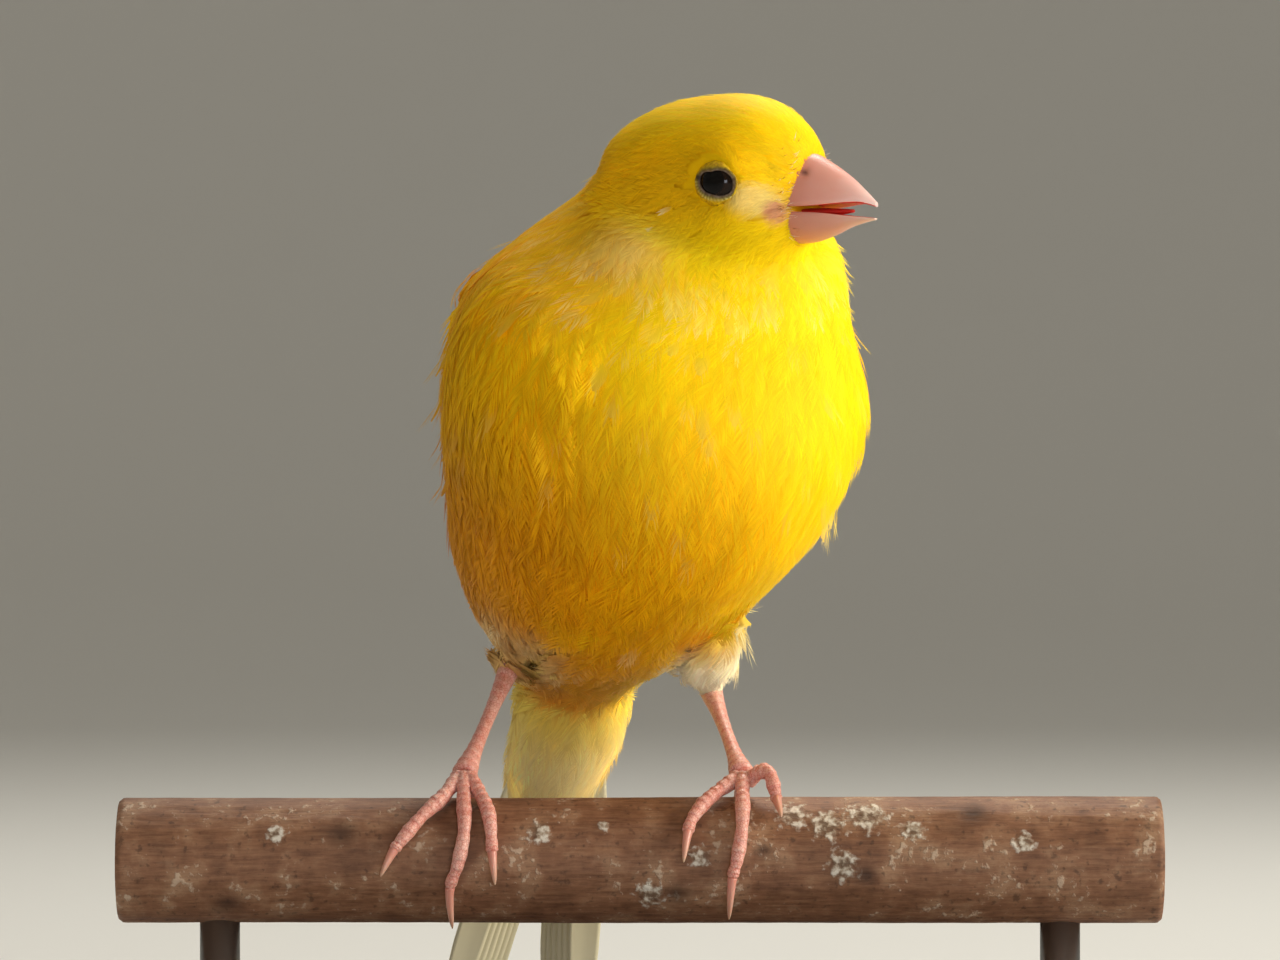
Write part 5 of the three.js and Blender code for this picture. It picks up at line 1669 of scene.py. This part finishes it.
def bark_height(x, angle):
    """Height of the bark over the twig's mean radius in mm, from -0.2 to 0.2."""
    ridge = 0.035 * np.sin(9 * angle + 0.06 * x + 1.3 * np.sin(0.09 * x))
    ridge += 0.02 * np.sin(23 * angle - 0.11 * x + 2 * np.sin(0.05 * x))
    ridge += 0.05 * np.sin(2 * angle + 0.045 * x)
    fine = 0.018 * np.sin(61 * angle + 1.9 * np.sin(0.31 * x)) * np.sin(0.7 * x + 5 * angle)
    knots = 0
    for place, degrees, size in KNOTS:
        far = bark_distance(x, angle, place, degrees, KNOT_STRETCH)
        knots = knots + 0.24 * np.exp(-(far / size) ** 2) - 0.2 * np.exp(-(far / (0.42 * size)) ** 2)
    return np.clip(ridge + fine + knots, -0.22, 0.22)


xs = np.concatenate([[-52, -51.9, -51.7], np.linspace(-51.4, 51.4, 300), [51.7, 51.9, PERCH_HALF]])
angles = np.linspace(0, 2 * math.pi, 120, endpoint=False)
rings = []
for x in xs:
    cut = 0.28 * smooth_step(PERCH_HALF - 0.4, PERCH_HALF, abs(x))
    reach = PERCH_RADIUS + bark_height(x, angles) - cut
    around = PERCH_Y - reach * np.sin(angles), PERCH_Z + reach * np.cos(angles)
    rings.append(np.stack([np.full(len(angles), x), *around], -1))
bm = bmesh.new()
loft(bm, [ring * MM for ring in rings])
bmesh.ops.recalc_face_normals(bm, faces=bm.faces)
ends = [face for face in bm.faces if len(face.verts) > 4]
ringed = bmesh.ops.inset_individual(bm, faces=ends, thickness=0.45 * MM, depth=-0.08 * MM)["faces"]
for face in ends + ringed:
    face.material_index = 1
print("bark of", len(bm.faces), "faces")

# %% [markdown]
# The bark has pale scuffs where birds wipe their bills, dark specks and chalky crusts. These are mixed from
# noises, each at the size that it has on a real twig. The sawn ends show the year rings of pale wood, drawn
# as a sine of the distance from the middle.

# %% Bark and end grain
bark, tree, shader = new_material("thin_smooth_bark", Roughness=0.62, IOR=1.45)
place = add_node(tree, "ShaderNodeTexCoord").outputs["Object"]
along_bark = add_node(tree, "ShaderNodeMapping", {"Vector": place, "Scale": (0.12, 1, 1)}).outputs[0]
# Grain streaks are about 0.3 mm wide and 4 mm long
streaks = add_node(tree, "ShaderNodeTexNoise", {"Vector": along_bark, "Scale": 2600, "Detail": 5,
                                                "Roughness": 0.65}).outputs["Fac"]
cloud = add_node(tree, "ShaderNodeTexNoise", {"Vector": place, "Scale": 230, "Detail": 7,
                                              "Roughness": 0.62}).outputs["Fac"]
speck = add_node(tree, "ShaderNodeTexNoise", {"Vector": place, "Scale": 1300, "Detail": 4}).outputs["Fac"]
base = colour_steps(tree, streaks, [(0.3, "#54321f"), (0.5, "#84593e"), (0.72, "#a57c5c")])
tone = colour_steps(tree, cloud, [(0.34, "#5c3d2a"), (0.5, "#8c6348"), (0.66, "#bb9878")])
colour = mix_colour(tree, 0.5, base, tone)
scuffs = add_node(tree, "ShaderNodeMath", {0: cloud, 1: speck}, operation="MULTIPLY").outputs[0]
scuffs = add_node(tree, "ShaderNodeMapRange", {"Value": scuffs, "From Min": 0.33,
                                               "From Max": 0.4}).outputs[0]
scuff_share = add_node(tree, "ShaderNodeMath", {0: scuffs, 1: 0.6}, operation="MULTIPLY").outputs[0]
colour = mix_colour(tree, scuff_share, colour, rgba("#d3bda6"))
# Rough dark specks about 0.4 mm wide, and chalky crusts whose edges the specks break up
pits = add_node(tree, "ShaderNodeMapRange", {"Value": speck, "From Min": 0.4, "From Max": 0.3,
                                             "To Max": 0.55}).outputs[0]
colour = mix_colour(tree, pits, colour, rgba("#3a261b"))
crust = add_node(tree, "ShaderNodeAttribute", attribute_name="crust").outputs["Fac"]
crust = add_node(tree, "ShaderNodeMath", {0: crust, 1: speck}, operation="ADD").outputs[0]
crust = add_node(tree, "ShaderNodeMapRange", {"Value": crust, "From Min": 0.84, "From Max": 1.1,
                                              "To Max": 0.9}).outputs[0]
chalk = colour_steps(tree, speck, [(0.42, "#6e5b49"), (0.5, "#a99884"), (0.62, "#e4ddd0")])
colour = mix_colour(tree, crust, colour, chalk)
knot_share = add_node(tree, "ShaderNodeAttribute", attribute_name="knot").outputs["Fac"]
colour = mix_colour(tree, knot_share, colour, rgba("#3a2317"))
tree.links.new(colour, shader.inputs["Base Color"])
rise = add_node(tree, "ShaderNodeMath", {0: streaks, 1: scuffs}, operation="ADD").outputs[0]
rise = add_node(tree, "ShaderNodeMath", {0: rise, 1: crust}, operation="ADD").outputs[0]
bump = add_node(tree, "ShaderNodeBump", {"Height": rise, "Strength": 0.6, "Distance": 0.00015})
tree.links.new(bump.outputs[0], shader.inputs["Normal"])

sawn, tree, shader = new_material("sawn_end_grain", Roughness=0.8, IOR=1.45)
place = add_node(tree, "ShaderNodeTexCoord").outputs["Object"]
to_middle = (0, -PERCH_Y * MM, -PERCH_Z * MM)
spot = add_node(tree, "ShaderNodeMapping", {"Vector": place, "Location": to_middle}).outputs[0]
spot = add_node(tree, "ShaderNodeVectorMath", {0: spot, 1: (0, 1, 1)}, operation="MULTIPLY").outputs[0]
wobble = add_node(tree, "ShaderNodeTexNoise", {"Vector": place, "Scale": 300, "Detail": 2}).outputs["Color"]
wobble = add_node(tree, "ShaderNodeVectorMath", {0: wobble, "Scale": 0.0006}, operation="SCALE").outputs[0]
spot = add_node(tree, "ShaderNodeVectorMath", {0: spot, 1: wobble}).outputs[0]
radius = add_node(tree, "ShaderNodeVectorMath", {0: spot}, operation="LENGTH").outputs["Value"]
# Year rings 1.1 mm apart
YEAR_RING = 1.1 * MM
year = add_node(tree, "ShaderNodeMath", {0: radius, 1: 2 * math.pi / YEAR_RING}, operation="MULTIPLY")
year = add_node(tree, "ShaderNodeMath", {0: year.outputs[0]}, operation="SINE").outputs[0]
year = add_node(tree, "ShaderNodeMapRange", {"Value": year, "From Min": -1}).outputs[0]
wood = colour_steps(tree, year, [(0, "#c9a877"), (0.7, "#dcc394"), (1, "#b78f5e")])
tree.links.new(wood, shader.inputs["Base Color"])
across_end = add_node(tree, "ShaderNodeMapping", {"Vector": place, "Scale": (1, 0.15, 1)}).outputs[0]
saw = add_node(tree, "ShaderNodeTexNoise", {"Vector": across_end, "Scale": 5000}).outputs["Fac"]
bump = add_node(tree, "ShaderNodeBump", {"Height": saw, "Strength": 0.4, "Distance": 0.0001})
tree.links.new(bump.outputs[0], shader.inputs["Normal"])

print("materials", bark.name, "and", sawn.name)

# %% [markdown]
# The material learns where the knots and crusts are from numbers on the perch's vertices, worked out by the
# same distances that shaped the knots, so that colour and relief agree.

# %% Perch
perch = new_piece("perch_with_bark", bm, bark, sawn)
where = coordinates(perch.data) / MM
bark_angle = np.arctan2(PERCH_Y - where[:, 1], where[:, 2] - PERCH_Z)
for name, spots, stretch, shrink, most in (("knot", KNOTS, KNOT_STRETCH, 0.5, 0.8),
                                           ("crust", CRUSTS, 1, 1, 0.7)):
    share = np.zeros(len(where))
    for x, degrees, size in spots:
        far = bark_distance(where[:, 0], bark_angle, x, degrees, stretch)
        share = np.maximum(share, np.exp(-(far / (shrink * size)) ** 2))
    number_attribute(perch.data, name, most * share)
dress(perch, "bark", "perch")
print("perch has", len(perch.data.polygons), "faces")

# %% [markdown]
# The stand is the maker's own: a small base of dark stained beech with eased edges, and two brushed steel
# rods with turned collars. The base starts as a cube scaled to size, with its upright corners rounded first
# and its rims eased after.

# %% Stand
BASE_SIZE = (104, 84, 7)
ROD_SPREAD = 42.0
# The rod and its collar as [radius, height] in mm
ROD_PROFILE = [(2, 4), (2, 7.02), (3.8, 7.02), (4, 7.22), (4, 8.5), (3.7, 8.9), (2.3, 9.1), (2, 9.2),
               (2, PERCH_Z - 5.6)]
stained, tree, shader = new_material("stained_beech", Roughness=0.42, IOR=1.5, Coat_Weight=0.25,
                                     Coat_Roughness=0.3)
place = add_node(tree, "ShaderNodeTexCoord").outputs["Object"]
along_wood = add_node(tree, "ShaderNodeMapping", {"Vector": place, "Scale": (0.08, 1, 1)}).outputs[0]
grain = add_node(tree, "ShaderNodeTexNoise", {"Vector": along_wood, "Scale": 420, "Detail": 8,
                                              "Roughness": 0.6, "Distortion": 0.4}).outputs["Fac"]
# Beech flecks are 0.3 mm wide and 2 to 3 mm long
fleck = add_node(tree, "ShaderNodeTexNoise", {"Vector": along_wood, "Scale": 2400,
                                              "Detail": 2}).outputs["Fac"]
colour = colour_steps(tree, grain, [(0.3, "#2a1c14"), (0.5, "#3c2a1e"), (0.7, "#4d3626")])
fleck_share = add_node(tree, "ShaderNodeMapRange", {"Value": fleck, "From Min": 0.58, "From Max": 0.7,
                                                    "To Max": 0.5}).outputs[0]
tree.links.new(mix_colour(tree, fleck_share, colour, rgba("#21150f")), shader.inputs["Base Color"])
bump = add_node(tree, "ShaderNodeBump", {"Height": grain, "Strength": 0.2, "Distance": 0.0002})
tree.links.new(bump.outputs[0], shader.inputs["Normal"])

steel, tree, shader = new_material("brushed_steel", Metallic=1.0, Roughness=0.32, Base_Color=rgba("#b9babb"))
place = add_node(tree, "ShaderNodeTexCoord").outputs["Object"]
drawn_out = add_node(tree, "ShaderNodeMapping", {"Vector": place, "Scale": (1, 1, 0.04)}).outputs[0]
brush = add_node(tree, "ShaderNodeTexNoise", {"Vector": drawn_out, "Scale": 6000, "Detail": 3}).outputs["Fac"]
sheen = add_node(tree, "ShaderNodeMapRange", {"Value": brush, "To Min": 0.24, "To Max": 0.42}).outputs[0]
tree.links.new(sheen, shader.inputs["Roughness"])
bump = add_node(tree, "ShaderNodeBump", {"Height": brush, "Strength": 0.15, "Distance": 0.00005})
tree.links.new(bump.outputs[0], shader.inputs["Normal"])

bm = bmesh.new()
wide, deep, tall = (side * MM for side in BASE_SIZE)
raised = Matrix.Translation((0, 0, tall / 2)) @ Matrix.Diagonal((wide, deep, tall, 1))
bmesh.ops.create_cube(bm, size=1, matrix=raised)
for upright, radius, segments in ((True, 10, 16), (False, 1.2, 5)):
    edges = [e for e in bm.edges if (abs(e.verts[0].co.z - e.verts[1].co.z) > tall / 2) == upright]
    bmesh.ops.bevel(bm, geom=edges, offset=radius * MM, offset_type="OFFSET", segments=segments, profile=0.5,
                    affect="EDGES", material=-1)
dress(new_piece("stand_wooden_base", bm, stained), "stand", "stand_base")

for name, x in (("right", -ROD_SPREAD), ("left", ROD_SPREAD)):
    bm = bmesh.new()
    profile = [((x + r) * MM, PERCH_Y * MM, z * MM) for r, z in ROD_PROFILE]
    spin_profile(bm, profile, (0, 0, 1), 48, (x * MM, PERCH_Y * MM, 0), merge=1e-7)
    bmesh.ops.holes_fill(bm, edges=[e for e in bm.edges if e.is_boundary], sides=0)
    bmesh.ops.recalc_face_normals(bm, faces=bm.faces)
    dress(new_piece(f"stand_steel_rod_{name}", bm, steel), "stand_metal", f"stand_rod_{name}")
print("base and two rods")

# %% [markdown]
# The skin stands for the imported flesh solids and rides with them.

# %% Finish
dress(skin, "plumage", *FLESH)
